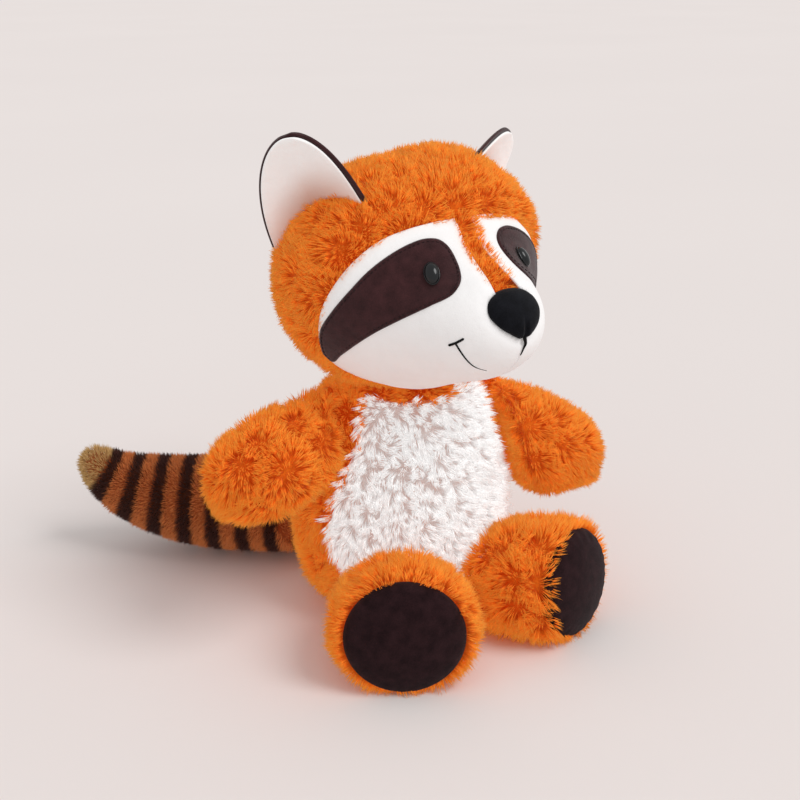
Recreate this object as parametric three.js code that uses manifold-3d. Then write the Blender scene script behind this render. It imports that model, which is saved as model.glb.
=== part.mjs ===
// A sitting plush raccoon, sewn from fur-fabric panels and stuffed with fibre.
// Millimetres, +Z up, the face towards -Y, the toy's own left side towards +X.
// The origin is the middle of the flat seat panel that the toy sits on.
// A panel's outer face is the middle of its pile.

import * as THREE from "three";
import { mergeGeometries, mergeVertices } from "three/addons/utils/BufferGeometryUtils.js";
import Module from "manifold-3d";

const wasm = await Module();
wasm.setup();

// Cloth, stuffing and clearances
const COVER = 3; // a panel's backing with half of its pile
const SEAM_GAP = 0.3; // between panels that are sewn edge to edge
const FILL_GAP = 0.3; // between a panel and what lies against it
const JOINT_GAP = 0.35; // between two bodies, all through their swings
const FLOOR = 0;

// Torso: a pear turned about the upright axis, then flattened from front to back
const TORSO_HEIGHT = 158;
const TORSO_DEPTH_SHARE = 0.86; // depth over width
const SEAT_RADIUS = 50; // half the width of the flat base
const SEAT_PANEL_MARGIN = 4; // of the flat base, outside the panel that closes it
const HIP_RADIUS = 72;
const HIP_HEIGHT = 44;
const CHEST_RADIUS = 62;
const CHEST_HEIGHT = 112;
const NECK_RADIUS = 47;
const NECK_DROP = 12; // from the torso's top
const BELLY_MIDDLE = 70; // the height that the belly panel's outline is seen from

// Head: a skull and a snout, two ellipsoids blended into one skin
const HEAD_RISE = 55; // the skull's centre above the torso's top
const HEAD_FORWARD = 4; // the skull's centre ahead of the torso's middle
const HEAD_TURN = 4.5; // degrees, to the toy's own left
const SKULL_HALF_WIDTH = 82;
const SKULL_HALF_DEPTH = 73;
const SKULL_HALF_HEIGHT = 71;
const SNOUT_HALF_WIDTH = 45;
const SNOUT_HALF_DEPTH = 70;
const SNOUT_HALF_HEIGHT = 40;
const SNOUT_FORWARD = 40; // the snout's centre ahead of the skull's
const SNOUT_DROP = 12; // and below it
const SNOUT_BLEND = 18;
const NOSE_PROUD = 1.5;
const PATCH_THICKNESS = 1.2;

// Eyes: domes on stems, each held by a lock washer behind the cloth
const EYE_TURN = 24; // degrees round from the front
const EYE_RISE = 13; // degrees up from the middle of the head
const EYE_HALF_WIDTH = 4.4;
const EYE_HALF_HEIGHT = 6.6;
const EYE_DOME = 3.6;
const EYE_SEAT_GAP = 0.6; // under the middle of an eye, where the patch is hollow
const STEM_RADIUS = 2;
const STEM_HOLE_GAP = 0.3;
const STEM_LENGTH = 12;
const WASHER_RADIUS = 7.5;
const WASHER_THICKNESS = 1.6;
const WASHER_BORE_GAP = 0.15;
const POCKET_GAP = 0.6; // between the stuffing and the eye's hardware

// Ears: two cupped leaves each
const EAR_FOOT_ROUND = 97; // degrees round from the front to the middle of an ear's foot
const EAR_FOOT_UP = 40; // degrees up from the middle of the head
const EAR_LEAN = { left: 36, right: 10 }; // degrees that each ear leans out from upright
const EAR_TURN = 46; // degrees that an ear's cup looks outwards
const EAR_NOD = 30; // degrees that an ear tips forwards
const EAR_HEIGHT = 43.5;
const EAR_HALF_WIDTH = 30.5;
const EAR_CUP = 13;
const EAR_SINK = 24; // how far a leaf runs on below the skin before it is cut to it
const EAR_FRONT_THICKNESS = 2;
const EAR_BACK_THICKNESS = 2.6;
const EAR_RIM = 1.2; // how far the dark back stands out round the white front

// Arms: eggs that hang out and down from the shoulders, each at the angle that it was left in
const SHOULDER_DROP = 27; // from the torso's top
const SHOULDER_OUT = 26; // where an arm's form begins, inside the torso
const SHOULDER_SEAM_OUT = 44; // where its sewn root bends
const ARM_ROOT_RADIUS = 27;
const ARM_RADIUS = 33;
const ARM_LENGTH = 121; // from inside the shoulder to the paw's end
const ARM_DROOP = { left: 30, right: 14 }; // degrees below level
const ARM_FORWARD = { left: 22, right: 15 }; // degrees ahead of straight out

// Legs: short and thick, each ending in a round suede sole
const HIP_OUT = 20; // where a leg's form begins, inside the torso
const HIP_FORWARD = 30;
const HIP_SEAM_HEIGHT = 22;
const LEG_SPLAY = 28; // degrees that a leg turns out from straight ahead
const LEG_RISE = 8; // degrees that a sole looks up
const LEG_LENGTH = 88; // from inside the hip to the sole's edge
const LEG_ROOT_RADIUS = 33;
const LEG_RADIUS = 38;
const LEG_WIDTH_SHARE = 1.16; // width over height
const SOLE_RADIUS = 33;
const SOLE_WIDTH_SHARE = 1.05; // width over height
const SOLE_CROWN = 9; // how far a padded sole bulges

// Tail: thick at the root, laid back along the floor to the toy's right, its tip curled up
const TAIL_ROOT_BACK = 38;
const TAIL_ROOT_HEIGHT = 36;
const TAIL_ASIDE = 162; // from the root to the tip, to the toy's right
const TAIL_BACK = 116; // from the root to the tip, backwards
const TAIL_TIP_RISE = 40;
const TAIL_RADIUS = 37;
const TAIL_TIP_RADIUS = 20;

// How far each sewn root lets its piece swing, in degrees to either side of rest
const SWING = { head: [-12, 12], arm: [-20, 25], leg: [-6, 15], tail: [-20, 20], ear: [-20, 20] };
const SWING_STEP = 10;

// Facets round and along each soft form: more on a surface that shows, fewer behind the cloth
const TORSO_FACETS = { shown: [26, 13], hidden: [16, 9] };
const HEAD_FACETS = { shown: [32, 18], hidden: [18, 11] };
const ARM_FACETS = { shown: [18, 10], hidden: [10, 7] };
const LEG_FACETS = { shown: [20, 11], hidden: [12, 8] };
const TAIL_FACETS = { shown: [18, 14], hidden: [10, 9] };
const EYE_FACETS = [14, 4]; // round a dome, and up it
const EAR_FACETS = 7; // across a leaf, and up it
const OUTLINE_STEPS = 30; // round a panel's outline
const STEM_SIDES = 8;
const WASHER_SIDES = 12;
const DISC_SIDES = 24;

const rad = THREE.MathUtils.degToRad;
const point = (x, y, z) => new THREE.Vector3(x, y, z);
const X_AXIS = point(1, 0, 0);
const Y_AXIS = point(0, 1, 0);
const Z_AXIS = point(0, 0, 1);
const MIRROR = new THREE.Matrix4().makeScale(-1, 1, 1);

// Materials
const finish = (color, roughness) => new THREE.MeshStandardMaterial({ color, roughness, metalness: 0 });
const ORANGE_FUR = finish("#d8681a", 0.95);
const WHITE_FUR = finish("#ece9e4", 0.95);
const WHITE_VELOUR = finish("#efebe8", 0.9);
const BROWN_SUEDE = finish("#2e1a1c", 0.85);
const BLACK_VELVET = finish("#0c0c10", 0.9);
const STRIPED_PLUSH = finish("#9c5a2c", 0.95);
const BLACK_PLASTIC = finish("#0a0a0c", 0.15);
const PALE_PLASTIC = finish("#d9d9d6", 0.5);
const FIBRE = finish("#f4f2ee", 1);

// Solids

// A closed geometry as a solid: shared corners merged, collapsed triangles dropped, faces outwards.
function solidOf(geometry) {
  const bare = new THREE.BufferGeometry();
  bare.setAttribute("position", geometry.getAttribute("position"));
  bare.setIndex(geometry.getIndex());
  const merged = mergeVertices(bare, 1e-4);
  const corners = merged.getIndex().array;
  const kept = [];
  for (let i = 0; i < corners.length; i += 3) {
    const [a, b, c] = corners.slice(i, i + 3);
    if (a !== b && b !== c && c !== a) kept.push(a, b, c);
  }
  const build = (triangles) =>
    new wasm.Manifold(
      new wasm.Mesh({
        numProp: 3,
        vertProperties: merged.getAttribute("position").array,
        triVerts: new Uint32Array(triangles),
      }),
    );
  const solid = build(kept);
  return solid.volume() < 0 ? build(kept.reverse()) : solid;
}

const moved = (solid, matrix) => solid.transform([...matrix.elements]);
const mirrored = (solid) => moved(solid, MIRROR);
const mirroredFrame = (frame) => MIRROR.clone().multiply(frame).multiply(MIRROR);
const joined = (solids) => solids.reduce((all, solid) => all.add(solid));

// A box that fills everything on one side of a plane through `at`, with `normal` into the kept side.
function halfSpace(at, normal) {
  const side = 1000;
  const box = new THREE.BoxGeometry(side, side, side).translate(0, 0, side / 2);
  box.applyQuaternion(new THREE.Quaternion().setFromUnitVectors(Z_AXIS, normal));
  return solidOf(box.translate(at.x, at.y, at.z));
}

// Both sides of a seam in the plane through `at` square to `normal`, with the seam's gap between them.
function splitAtSeam(solid, at, normal) {
  const side = (sign) => {
    const into = normal.clone().multiplyScalar(sign);
    return solid.intersect(halfSpace(at.clone().addScaledVector(into, SEAM_GAP / 2), into));
  };
  return [side(1), side(-1)];
}

// A rod along a frame's Z axis, from one height to another.
function rod(frame, radius, from, to, sides) {
  const cylinder = new THREE.CylinderGeometry(radius, radius, to - from, sides).rotateX(Math.PI / 2);
  return solidOf(cylinder.translate(0, 0, (from + to) / 2).applyMatrix4(frame));
}

// Soft forms: each is a function of an inset from the surface that shows.
const facetsAt = (inset, facets) => (inset > 0 ? facets.hidden : facets.shown);

// A profile of [radius, height] points, from axis to axis, turned about +Z. The curve meets the
// axis squarely, because it runs through the mirrored points as well.
function turned(profile, inset, facets) {
  const [sides, steps] = facetsAt(inset, facets);
  const right = profile.map(([r, z]) => point(r, z, 0));
  const left = profile.slice(1, -1).map(([r, z]) => point(-r, z, 0));
  const outline = new THREE.CatmullRomCurve3([...right, ...left.reverse()], true, "centripetal");
  const ring = [];
  for (let i = 0; i <= steps; i++) {
    const t = (0.5 * i) / steps;
    const at = outline.getPoint(t);
    const along = outline.getTangent(t);
    const r = i % steps === 0 ? 0 : Math.max(at.x - inset * along.y, 0);
    ring.push(new THREE.Vector2(r, at.y + inset * along.x));
  }
  return new THREE.LatheGeometry(ring, sides).rotateX(Math.PI / 2);
}

// A swelling tube along a spine, closed and rounded at both ends.
function alongSpine(spine, radiusAt, inset, facets) {
  const [sides, steps] = facetsAt(inset, facets);
  const ball = new THREE.SphereGeometry(1, sides, steps);
  const place = ball.getAttribute("position");
  const length = spine.getLength();
  for (let i = 0; i < place.count; i++) {
    const unit = new THREE.Vector3().fromBufferAttribute(place, i);
    const ring = Math.hypot(unit.x, unit.z);
    const t = (1 - unit.y) / 2;
    const along = THREE.MathUtils.clamp(t, inset / length, 1 - inset / length);
    const tangent = spine.getTangentAt(along);
    const across = tangent.clone().cross(Z_AXIS).normalize();
    const lift = across.clone().cross(tangent);
    const at = spine.getPointAt(along);
    if (ring > 1e-6) {
      const width = (radiusAt(t) - inset) * Math.sqrt(ring);
      at.addScaledVector(across, (width * unit.x) / ring).addScaledVector(lift, (width * unit.z) / ring);
    }
    place.setXYZ(i, at.x, at.y, at.z);
  }
  return ball;
}

// A left half and its mirror image, so that pieces made for the left side fit the right one too.
function withMirrorImage(leftHalf) {
  const rightHalf = leftHalf.clone().applyMatrix4(MIRROR);
  rightHalf.setIndex([...leftHalf.getIndex().array].reverse());
  return mergeGeometries([leftHalf, rightHalf]);
}

// A surface round the origin whose distance depends on the direction, alike on both sides.
function swollen(radiusAt, inset, facets) {
  const [across, up] = facetsAt(inset, facets);
  const leftHalf = new THREE.SphereGeometry(1, across / 2, up, Math.PI / 2, Math.PI).rotateX(Math.PI / 2);
  const ball = withMirrorImage(leftHalf);
  const place = ball.getAttribute("position");
  for (let i = 0; i < place.count; i++) {
    const direction = new THREE.Vector3().fromBufferAttribute(place, i).normalize();
    direction.multiplyScalar(radiusAt(direction) - inset);
    place.setXYZ(i, direction.x, direction.y, direction.z);
  }
  return ball;
}

// Whatever hangs below the floor is pressed flat on it.
function pressedFlat(geometry, inset) {
  const place = geometry.getAttribute("position");
  for (let i = 0; i < place.count; i++) place.setZ(i, Math.max(place.getZ(i), FLOOR + inset));
  return geometry;
}

// The space that a solid passes through as it swings about a hinge.
function swept(solid, hinge, [from, to]) {
  const count = Math.ceil((to - from) / SWING_STEP);
  const views = [];
  for (let i = 0; i <= count; i++) {
    const turn = rad(from + ((to - from) * i) / count);
    const matrix = new THREE.Matrix4()
      .makeTranslation(hinge.at)
      .multiply(new THREE.Matrix4().makeRotationAxis(hinge.axis, turn))
      .multiply(new THREE.Matrix4().makeTranslation(hinge.at.clone().negate()));
    views.push(moved(solid, matrix));
  }
  return joined(views);
}

// The space that an obstacle takes up as seen by a piece that swings about a hinge.
const sweptPast = (obstacle, hinge, [from, to]) => swept(obstacle, hinge, [-to, -from]);

// Torso

const TORSO_PROFILE = [
  [0, FLOOR],
  [SEAT_RADIUS, FLOOR],
  [HIP_RADIUS, HIP_HEIGHT],
  [CHEST_RADIUS, CHEST_HEIGHT],
  [NECK_RADIUS, TORSO_HEIGHT - NECK_DROP],
  [0, TORSO_HEIGHT],
];

function torsoForm(inset) {
  const form = turned(TORSO_PROFILE, inset, TORSO_FACETS);
  form.scale(1, TORSO_DEPTH_SHARE, 1);
  return solidOf(pressedFlat(form, inset));
}

// Outlines on a surface, seen from a point inside it: [degrees round from the front, degrees up],
// anticlockwise as seen from outside.

function towards([round, up]) {
  const level = Math.cos(rad(up));
  return point(Math.sin(rad(round)) * level, -Math.cos(rad(round)) * level, Math.sin(rad(up)));
}

const mirroredOutline = (outline) => outline.map(([round, up]) => [-round, up]).reverse();

// The left half of an outline, from bottom to top, with its mirror image.
const bothSides = (half) => [...half, ...mirroredOutline(half)];

// Everything that an outline covers, from near the centre out past the surface, grown by a gap.
function outlineCone(centre, outline, gap = 0) {
  const near = 8;
  const far = 400;
  const surface = 80; // how far from the centre the gap is measured
  const steps = OUTLINE_STEPS;
  const loop = new THREE.CatmullRomCurve3(
    outline.map(([round, up]) => point(round, up, 0)),
    true,
    "centripetal",
  );
  const directions = loop
    .getSpacedPoints(steps)
    .slice(0, steps)
    .map((p) => towards([p.x, p.y]));
  const grown = directions.map((direction, i) => {
    const along = directions[(i + 1) % steps].clone().sub(directions[(i + steps - 1) % steps]).normalize();
    const outwards = along.cross(direction);
    return direction.clone().addScaledVector(outwards, gap / surface).normalize();
  });
  const middle = grown.reduce((sum, direction) => sum.add(direction), point(0, 0, 0)).normalize();
  const corners = [];
  for (const distance of [near, far]) {
    for (const direction of [...grown, middle]) {
      corners.push(...direction.clone().multiplyScalar(distance).add(centre));
    }
  }
  const triangles = [];
  const nearMiddle = steps;
  const farStart = steps + 1;
  const farMiddle = farStart + steps;
  for (let i = 0; i < steps; i++) {
    const next = (i + 1) % steps;
    triangles.push(i, next, farStart + i, next, farStart + next, farStart + i);
    triangles.push(nearMiddle, next, i, farMiddle, farStart + i, farStart + next);
  }
  const cone = new THREE.BufferGeometry();
  cone.setAttribute("position", new THREE.Float32BufferAttribute(corners, 3));
  return solidOf(cone.setIndex(triangles));
}

const TORSO_MIDDLE = point(0, 0, BELLY_MIDDLE);
const BELLY_OUTLINE = bothSides([
  [14, -44],
  [45, -38],
  [66, -20],
  [72, 0],
  [66, 24],
  [58, 44],
  [30, 60],
]);

function torsoPieces() {
  const shell = torsoForm(0).subtract(torsoForm(COVER));
  const flattened = new THREE.Matrix4().makeScale(1, TORSO_DEPTH_SHARE, 1);
  const seatRadius = SEAT_RADIUS - SEAT_PANEL_MARGIN;
  const seatDisc = (gap) => rod(flattened, seatRadius + gap, FLOOR - COVER, FLOOR + 2 * COVER, DISC_SIDES);
  const belly = outlineCone(TORSO_MIDDLE, BELLY_OUTLINE);
  const bellyHole = outlineCone(TORSO_MIDDLE, BELLY_OUTLINE, SEAM_GAP);
  const back = shell.subtract(seatDisc(SEAM_GAP)).subtract(bellyHole);
  const [left, right] = splitAtSeam(back, point(0, 0, 0), X_AXIS);
  return [
    ["torso_cover_left", left, ORANGE_FUR],
    ["torso_cover_right", right, ORANGE_FUR],
    ["belly_panel", shell.intersect(belly), WHITE_FUR],
    ["seat_panel", shell.intersect(seatDisc(0)), ORANGE_FUR],
    ["torso_fill", torsoForm(COVER + FILL_GAP), FIBRE],
  ];
}

// Head, modelled about the skull's centre with the face towards -Y

const headFrame = new THREE.Matrix4()
  .makeTranslation(0, -HEAD_FORWARD, TORSO_HEIGHT + HEAD_RISE)
  .multiply(new THREE.Matrix4().makeRotationZ(rad(HEAD_TURN)));

const SKULL_CENTRE = point(0, 0, 0);
const SKULL_HALF = point(SKULL_HALF_WIDTH, SKULL_HALF_DEPTH, SKULL_HALF_HEIGHT);
const SNOUT_CENTRE = point(0, -SNOUT_FORWARD, -SNOUT_DROP);
const SNOUT_HALF = point(SNOUT_HALF_WIDTH, SNOUT_HALF_DEPTH, SNOUT_HALF_HEIGHT);

// How far from the skull's centre an ellipsoid's surface lies in a direction.
function reachOf(direction, centre, half) {
  const d = direction.clone().divide(half);
  const c = centre.clone().divide(half);
  const b = d.dot(c);
  return (b + Math.sqrt(b * b - d.lengthSq() * (c.lengthSq() - 1))) / d.lengthSq();
}

function headRadius(direction) {
  const skull = reachOf(direction, SKULL_CENTRE, SKULL_HALF);
  const snout = reachOf(direction, SNOUT_CENTRE, SNOUT_HALF);
  const blend = Math.max(SNOUT_BLEND - Math.abs(skull - snout), 0) / SNOUT_BLEND;
  return Math.max(skull, snout) + (blend * blend * SNOUT_BLEND) / 4;
}

const headForm = (inset) => solidOf(swollen(headRadius, inset, HEAD_FACETS));

// A frame on the head's surface: its Z axis is the outward normal there, and its X axis is level.
function headSurfaceFrame(round, up) {
  const step = 2; // degrees
  const on = (a, b) => towards([a, b]).multiplyScalar(headRadius(towards([a, b])));
  const level = on(round + step, up).sub(on(round - step, up)).normalize();
  const upwards = on(round, up + step).sub(on(round, up - step)).normalize();
  const normal = level.clone().cross(upwards).normalize();
  const rise = normal.clone().cross(level);
  return new THREE.Matrix4().makeBasis(level, rise, normal).setPosition(on(round, up));
}

const FACE_OUTLINE = bothSides([
  [16, -62],
  [40, -55.5],
  [55, -47],
  [69, -37],
  [75, -29],
  [74.5, -18],
  [70, -3],
  [63.5, 9],
  [56, 19],
  [46, 27.5],
  [33, 33],
  [18, 36.2],
  [5, 37.2],
]);
const PATCH_OUTLINE = [
  [73.5, -25],
  [73.2, -18],
  [71, -11.5],
  [64, -2],
  [57, 6.5],
  [50, 14.5],
  [41.3, 21.5],
  [33, 26],
  [25.5, 28.2],
  [18.5, 27.6],
  [14.4, 24],
  [13, 18.5],
  [13.8, 11.5],
  [18, 6.3],
  [25.7, 2],
  [37, -4.6],
  [51, -13.4],
  [64, -23.3],
  [70.5, -28.3],
];
const GUSSET_OUTLINE = bothSides([
  [5, 2],
  [6, 12],
  [6, 24],
  [7, 35],
  [14, 50],
  [26, 66],
  [20, 74],
]);
const NOSE_OUTLINE = bothSides([
  [1.4, -7.1],
  [4.6, -5.5],
  [8, -3.2],
  [9.6, 0],
  [8.6, 3.4],
  [5.6, 5.5],
  [2, 6.4],
]);

const NECK_HINGE = { at: point(0, 0, TORSO_HEIGHT - NECK_DROP), axis: X_AXIS };

// The torso's top as the head passes over it, in the head's own frame.
const torsoUnderHead = moved(
  sweptPast(torsoForm(-JOINT_GAP), NECK_HINGE, SWING.head),
  headFrame.clone().invert(),
);

// An open dome closed by a flat disc under its rim.
function closedUnder(dome) {
  const bare = mergeVertices(dome.deleteAttribute("normal").deleteAttribute("uv"));
  const corners = [...bare.getAttribute("position").array];
  const triangles = [...bare.getIndex().array];
  const rim = [];
  for (let i = 0; i < corners.length / 3; i++) {
    if (Math.abs(corners[3 * i + 2]) < 1e-6) rim.push(i);
  }
  const bearing = (corner) => Math.atan2(corners[3 * corner + 1], corners[3 * corner]);
  rim.sort((a, b) => bearing(a) - bearing(b));
  const middle = corners.length / 3;
  corners.push(0, 0, 0);
  rim.forEach((corner, i) => triangles.push(middle, rim[(i + 1) % rim.length], corner));
  const closed = new THREE.BufferGeometry();
  closed.setAttribute("position", new THREE.Float32BufferAttribute(corners, 3));
  return closed.setIndex(triangles);
}

// One eye's dome with its stem and the washer that locks it behind the cloth, with the holes that
// they need in the patch, the cheek and the stuffing. A frame's origin is on the cheek's surface.
function eyePieces(frame) {
  const base = FILL_GAP + PATCH_THICKNESS + EYE_SEAT_GAP;
  const stemEnd = base - STEM_LENGTH;
  const washerTop = -COVER - FILL_GAP;
  const washerEnd = washerTop - WASHER_THICKNESS;
  const stem = (grow, from, to) => rod(frame, STEM_RADIUS + grow, from, to, STEM_SIDES);
  const disc = (grow, from, to) => rod(frame, WASHER_RADIUS + grow, from, to, WASHER_SIDES);
  const dome = new THREE.SphereGeometry(1, ...EYE_FACETS, 0, 2 * Math.PI, 0, Math.PI / 2)
    .rotateX(Math.PI / 2)
    .scale(EYE_HALF_WIDTH, EYE_HALF_HEIGHT, EYE_DOME);
  const capped = solidOf(closedUnder(dome).translate(0, 0, base).applyMatrix4(frame));
  return {
    eye: capped.add(stem(0, stemEnd, base + EYE_DOME / 2)),
    washer: disc(0, washerEnd, washerTop).subtract(stem(WASHER_BORE_GAP, washerEnd - 1, washerTop + 1)),
    patchHole: stem(STEM_HOLE_GAP, stemEnd, base),
    cheekHole: stem(STEM_HOLE_GAP, stemEnd, base).add(disc(POCKET_GAP, stemEnd, -COVER)),
    pocket: disc(POCKET_GAP, washerEnd - POCKET_GAP, base).add(stem(POCKET_GAP, stemEnd - POCKET_GAP, base)),
  };
}

function headPieces() {
  const shell = headForm(0).subtract(headForm(COVER)).subtract(torsoUnderHead);
  const cone = (outline, gap = 0) => outlineCone(SKULL_CENTRE, outline, gap);
  const noseHole = cone(NOSE_OUTLINE, SEAM_GAP);
  const gussetHole = cone(GUSSET_OUTLINE, SEAM_GAP);
  const faceCone = cone(FACE_OUTLINE);
  const eyes = eyePieces(headSurfaceFrame(EYE_TURN, EYE_RISE));
  const onBothSides = (solid) => solid.add(mirrored(solid));

  const face = shell
    .intersect(faceCone)
    .subtract(gussetHole)
    .subtract(noseHole)
    .subtract(onBothSides(eyes.cheekHole));
  const [cheekLeft, cheekRight] = splitAtSeam(face, SKULL_CENTRE, X_AXIS);
  const fur = shell.subtract(cone(FACE_OUTLINE, SEAM_GAP)).subtract(gussetHole);
  const [coverLeft, coverRight] = splitAtSeam(fur, SKULL_CENTRE, X_AXIS);
  const gusset = shell.intersect(cone(GUSSET_OUTLINE)).subtract(noseHole);
  const nose = headForm(-NOSE_PROUD).subtract(headForm(COVER)).intersect(cone(NOSE_OUTLINE));
  const patchSkin = headForm(-FILL_GAP - PATCH_THICKNESS).subtract(headForm(-FILL_GAP)).intersect(faceCone);
  const patchCone = cone(PATCH_OUTLINE).subtract(eyes.patchHole);
  const fill = headForm(COVER + FILL_GAP)
    .subtract(onBothSides(eyes.pocket))
    .subtract(torsoUnderHead);
  return [
    ["head_cover_left", coverLeft, ORANGE_FUR],
    ["head_cover_right", coverRight, ORANGE_FUR],
    ["forehead_gusset", gusset, ORANGE_FUR],
    ["cheek_left", cheekLeft, WHITE_VELOUR],
    ["cheek_right", cheekRight, WHITE_VELOUR],
    ["nose", nose, BLACK_VELVET],
    ["eye_patch_left", patchSkin.intersect(patchCone), BROWN_SUEDE],
    ["eye_patch_right", patchSkin.intersect(mirrored(patchCone)), BROWN_SUEDE],
    ["eye_left", eyes.eye, BLACK_PLASTIC],
    ["eye_right", mirrored(eyes.eye), BLACK_PLASTIC],
    ["eye_washer_left", eyes.washer, PALE_PLASTIC],
    ["eye_washer_right", mirrored(eyes.washer), PALE_PLASTIC],
    ["head_fill", fill, FIBRE],
  ];
}

// Ears: a leaf of cloth, cupped forwards at its sides, with its foot on the head

const earFoot = towards([EAR_FOOT_ROUND, EAR_FOOT_UP]);
const earFootPoint = earFoot.clone().multiplyScalar(headRadius(earFoot));

// The left ear's place, leaning as the ear on the named side does.
const earFrame = (side) =>
  new THREE.Matrix4()
    .makeTranslation(earFootPoint)
    .multiply(new THREE.Matrix4().makeRotationZ(rad(EAR_TURN)))
    .multiply(new THREE.Matrix4().makeRotationY(rad(EAR_LEAN[side])))
    .multiply(new THREE.Matrix4().makeRotationX(rad(EAR_NOD)));

// A point on the leaf's middle surface: u from side to side, v from below the foot to the tip.
function earPoint(u, v, grow) {
  const height = -EAR_SINK + (EAR_HEIGHT + EAR_SINK + grow) * v;
  const width = (EAR_HALF_WIDTH + grow) * Math.sqrt(1 - v ** 2.4);
  const across = u * width;
  const curl = (across / EAR_HALF_WIDTH) ** 2;
  return point(across, -EAR_CUP * curl * (1 - 0.25 * v), height);
}

// A sheet between two distances from the leaf's middle surface, in the ear's own frame.
function earLeaf(front, back, grow) {
  const across = EAR_FACETS;
  const up = EAR_FACETS;
  const corners = [];
  const fine = 1e-3;
  for (const distance of [front, back]) {
    for (let j = 0; j <= up; j++) {
      for (let i = 0; i <= across; i++) {
        const u = (2 * i) / across - 1;
        const v = j / up;
        const at = earPoint(u, v, grow);
        const near = THREE.MathUtils.clamp(v, 0.03, 0.97); // the tip and the foot have no slope of their own
        const beside = earPoint(u + fine, near, grow).sub(earPoint(u - fine, near, grow));
        const above = earPoint(u, near + fine, grow).sub(earPoint(u, near - fine, grow));
        const normal = above.cross(beside).normalize();
        corners.push(...at.addScaledVector(normal, -distance));
      }
    }
  }
  const row = across + 1;
  const sheet = row * (up + 1);
  const triangles = [];
  for (let j = 0; j < up; j++) {
    for (let i = 0; i < across; i++) {
      const a = j * row + i;
      const [b, c, d] = [a + 1, a + row + 1, a + row];
      triangles.push(a, b, c, a, c, d, sheet + a, sheet + c, sheet + b, sheet + a, sheet + d, sheet + c);
    }
  }
  const edge = [];
  for (let i = 0; i < across; i++) edge.push(i);
  for (let j = 0; j < up; j++) edge.push(j * row + across);
  for (let i = across; i > 0; i--) edge.push(up * row + i);
  for (let j = up; j > 0; j--) edge.push(j * row);
  edge.forEach((a, k) => {
    const b = edge[(k + 1) % edge.length];
    triangles.push(a, sheet + a, b, b, sheet + a, sheet + b);
  });
  const leaf = new THREE.BufferGeometry();
  leaf.setAttribute("position", new THREE.Float32BufferAttribute(corners, 3));
  return solidOf(leaf.setIndex(triangles));
}

// The left ear, leaning as the ear on the named side does. Its foot stays clear of the head.
function earPieces(side) {
  const frame = earFrame(side);
  const hinge = { at: earFootPoint, axis: X_AXIS.clone().transformDirection(frame) };
  const headUnderEar = sweptPast(headForm(-JOINT_GAP), hinge, SWING.ear);
  const half = SEAM_GAP / 2;
  const front = moved(earLeaf(half + EAR_FRONT_THICKNESS, half, 0), frame);
  const back = moved(earLeaf(-half, -half - EAR_BACK_THICKNESS, EAR_RIM), frame);
  return [
    ["ear_SIDE_front", front.subtract(headUnderEar), WHITE_VELOUR],
    ["ear_SIDE_back", back.subtract(headUnderEar), BROWN_SUEDE],
  ];
}

// Limbs: each is a turned form that begins inside the torso

// A frame at `at` whose Z axis points along `direction`, with its X axis level.
function aimedFrame(at, direction) {
  const level = Z_AXIS.clone().cross(direction).normalize();
  return new THREE.Matrix4().makeBasis(level, direction.clone().cross(level), direction).setPosition(at);
}

const LEG_PROFILE = [
  [0, 0],
  [0.7 * LEG_ROOT_RADIUS, 0.09 * LEG_LENGTH],
  [LEG_ROOT_RADIUS, 0.39 * LEG_LENGTH],
  [LEG_RADIUS, 0.73 * LEG_LENGTH],
  [0.97 * LEG_RADIUS, 0.91 * LEG_LENGTH],
  [SOLE_RADIUS, LEG_LENGTH],
  [0.62 * SOLE_RADIUS, LEG_LENGTH + 0.72 * SOLE_CROWN],
  [0, LEG_LENGTH + SOLE_CROWN],
];
const LEG_DIRECTION = point(
  Math.sin(rad(LEG_SPLAY)) * Math.cos(rad(LEG_RISE)),
  -Math.cos(rad(LEG_SPLAY)) * Math.cos(rad(LEG_RISE)),
  Math.sin(rad(LEG_RISE)),
);
const LEG_HINGE = { at: point(HIP_OUT, -HIP_FORWARD, HIP_SEAM_HEIGHT), axis: Z_AXIS };
const legFrame = aimedFrame(LEG_HINGE.at, LEG_DIRECTION);

function legForm(inset) {
  const wide = legFrame.clone().scale(point(LEG_WIDTH_SHARE, 1, 1));
  return solidOf(pressedFlat(turned(LEG_PROFILE, inset, LEG_FACETS).applyMatrix4(wide), inset));
}

// The left leg. Its root stays clear of the torso, and of the plane that parts it from the right leg.
function legPieces() {
  const otherSide = halfSpace(point(JOINT_GAP / 2, 0, 0), point(-1, 0, 0));
  const root = sweptPast(torsoForm(-JOINT_GAP).add(otherSide), LEG_HINGE, SWING.leg);
  const shell = legForm(0).subtract(legForm(COVER)).subtract(root);
  const oval = legFrame.clone().scale(point(SOLE_WIDTH_SHARE, 1, 1));
  const behind = LEG_LENGTH - 4 * COVER;
  const ahead = LEG_LENGTH + SOLE_CROWN + COVER;
  const disc = (gap) => rod(oval, SOLE_RADIUS + gap, behind, ahead, DISC_SIDES);
  return [
    ["leg_SIDE_cover", shell.subtract(disc(SEAM_GAP)), ORANGE_FUR],
    ["leg_SIDE_sole", shell.intersect(disc(0)), BROWN_SUEDE],
    ["leg_SIDE_fill", legForm(COVER + FILL_GAP).subtract(root), FIBRE],
  ];
}

const ARM_PROFILE = [
  [0, 0],
  [0.74 * ARM_ROOT_RADIUS, 0.07 * ARM_LENGTH],
  [ARM_ROOT_RADIUS, 0.31 * ARM_LENGTH],
  [ARM_RADIUS, 0.64 * ARM_LENGTH],
  [0.73 * ARM_RADIUS, 0.91 * ARM_LENGTH],
  [0, ARM_LENGTH],
];

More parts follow.
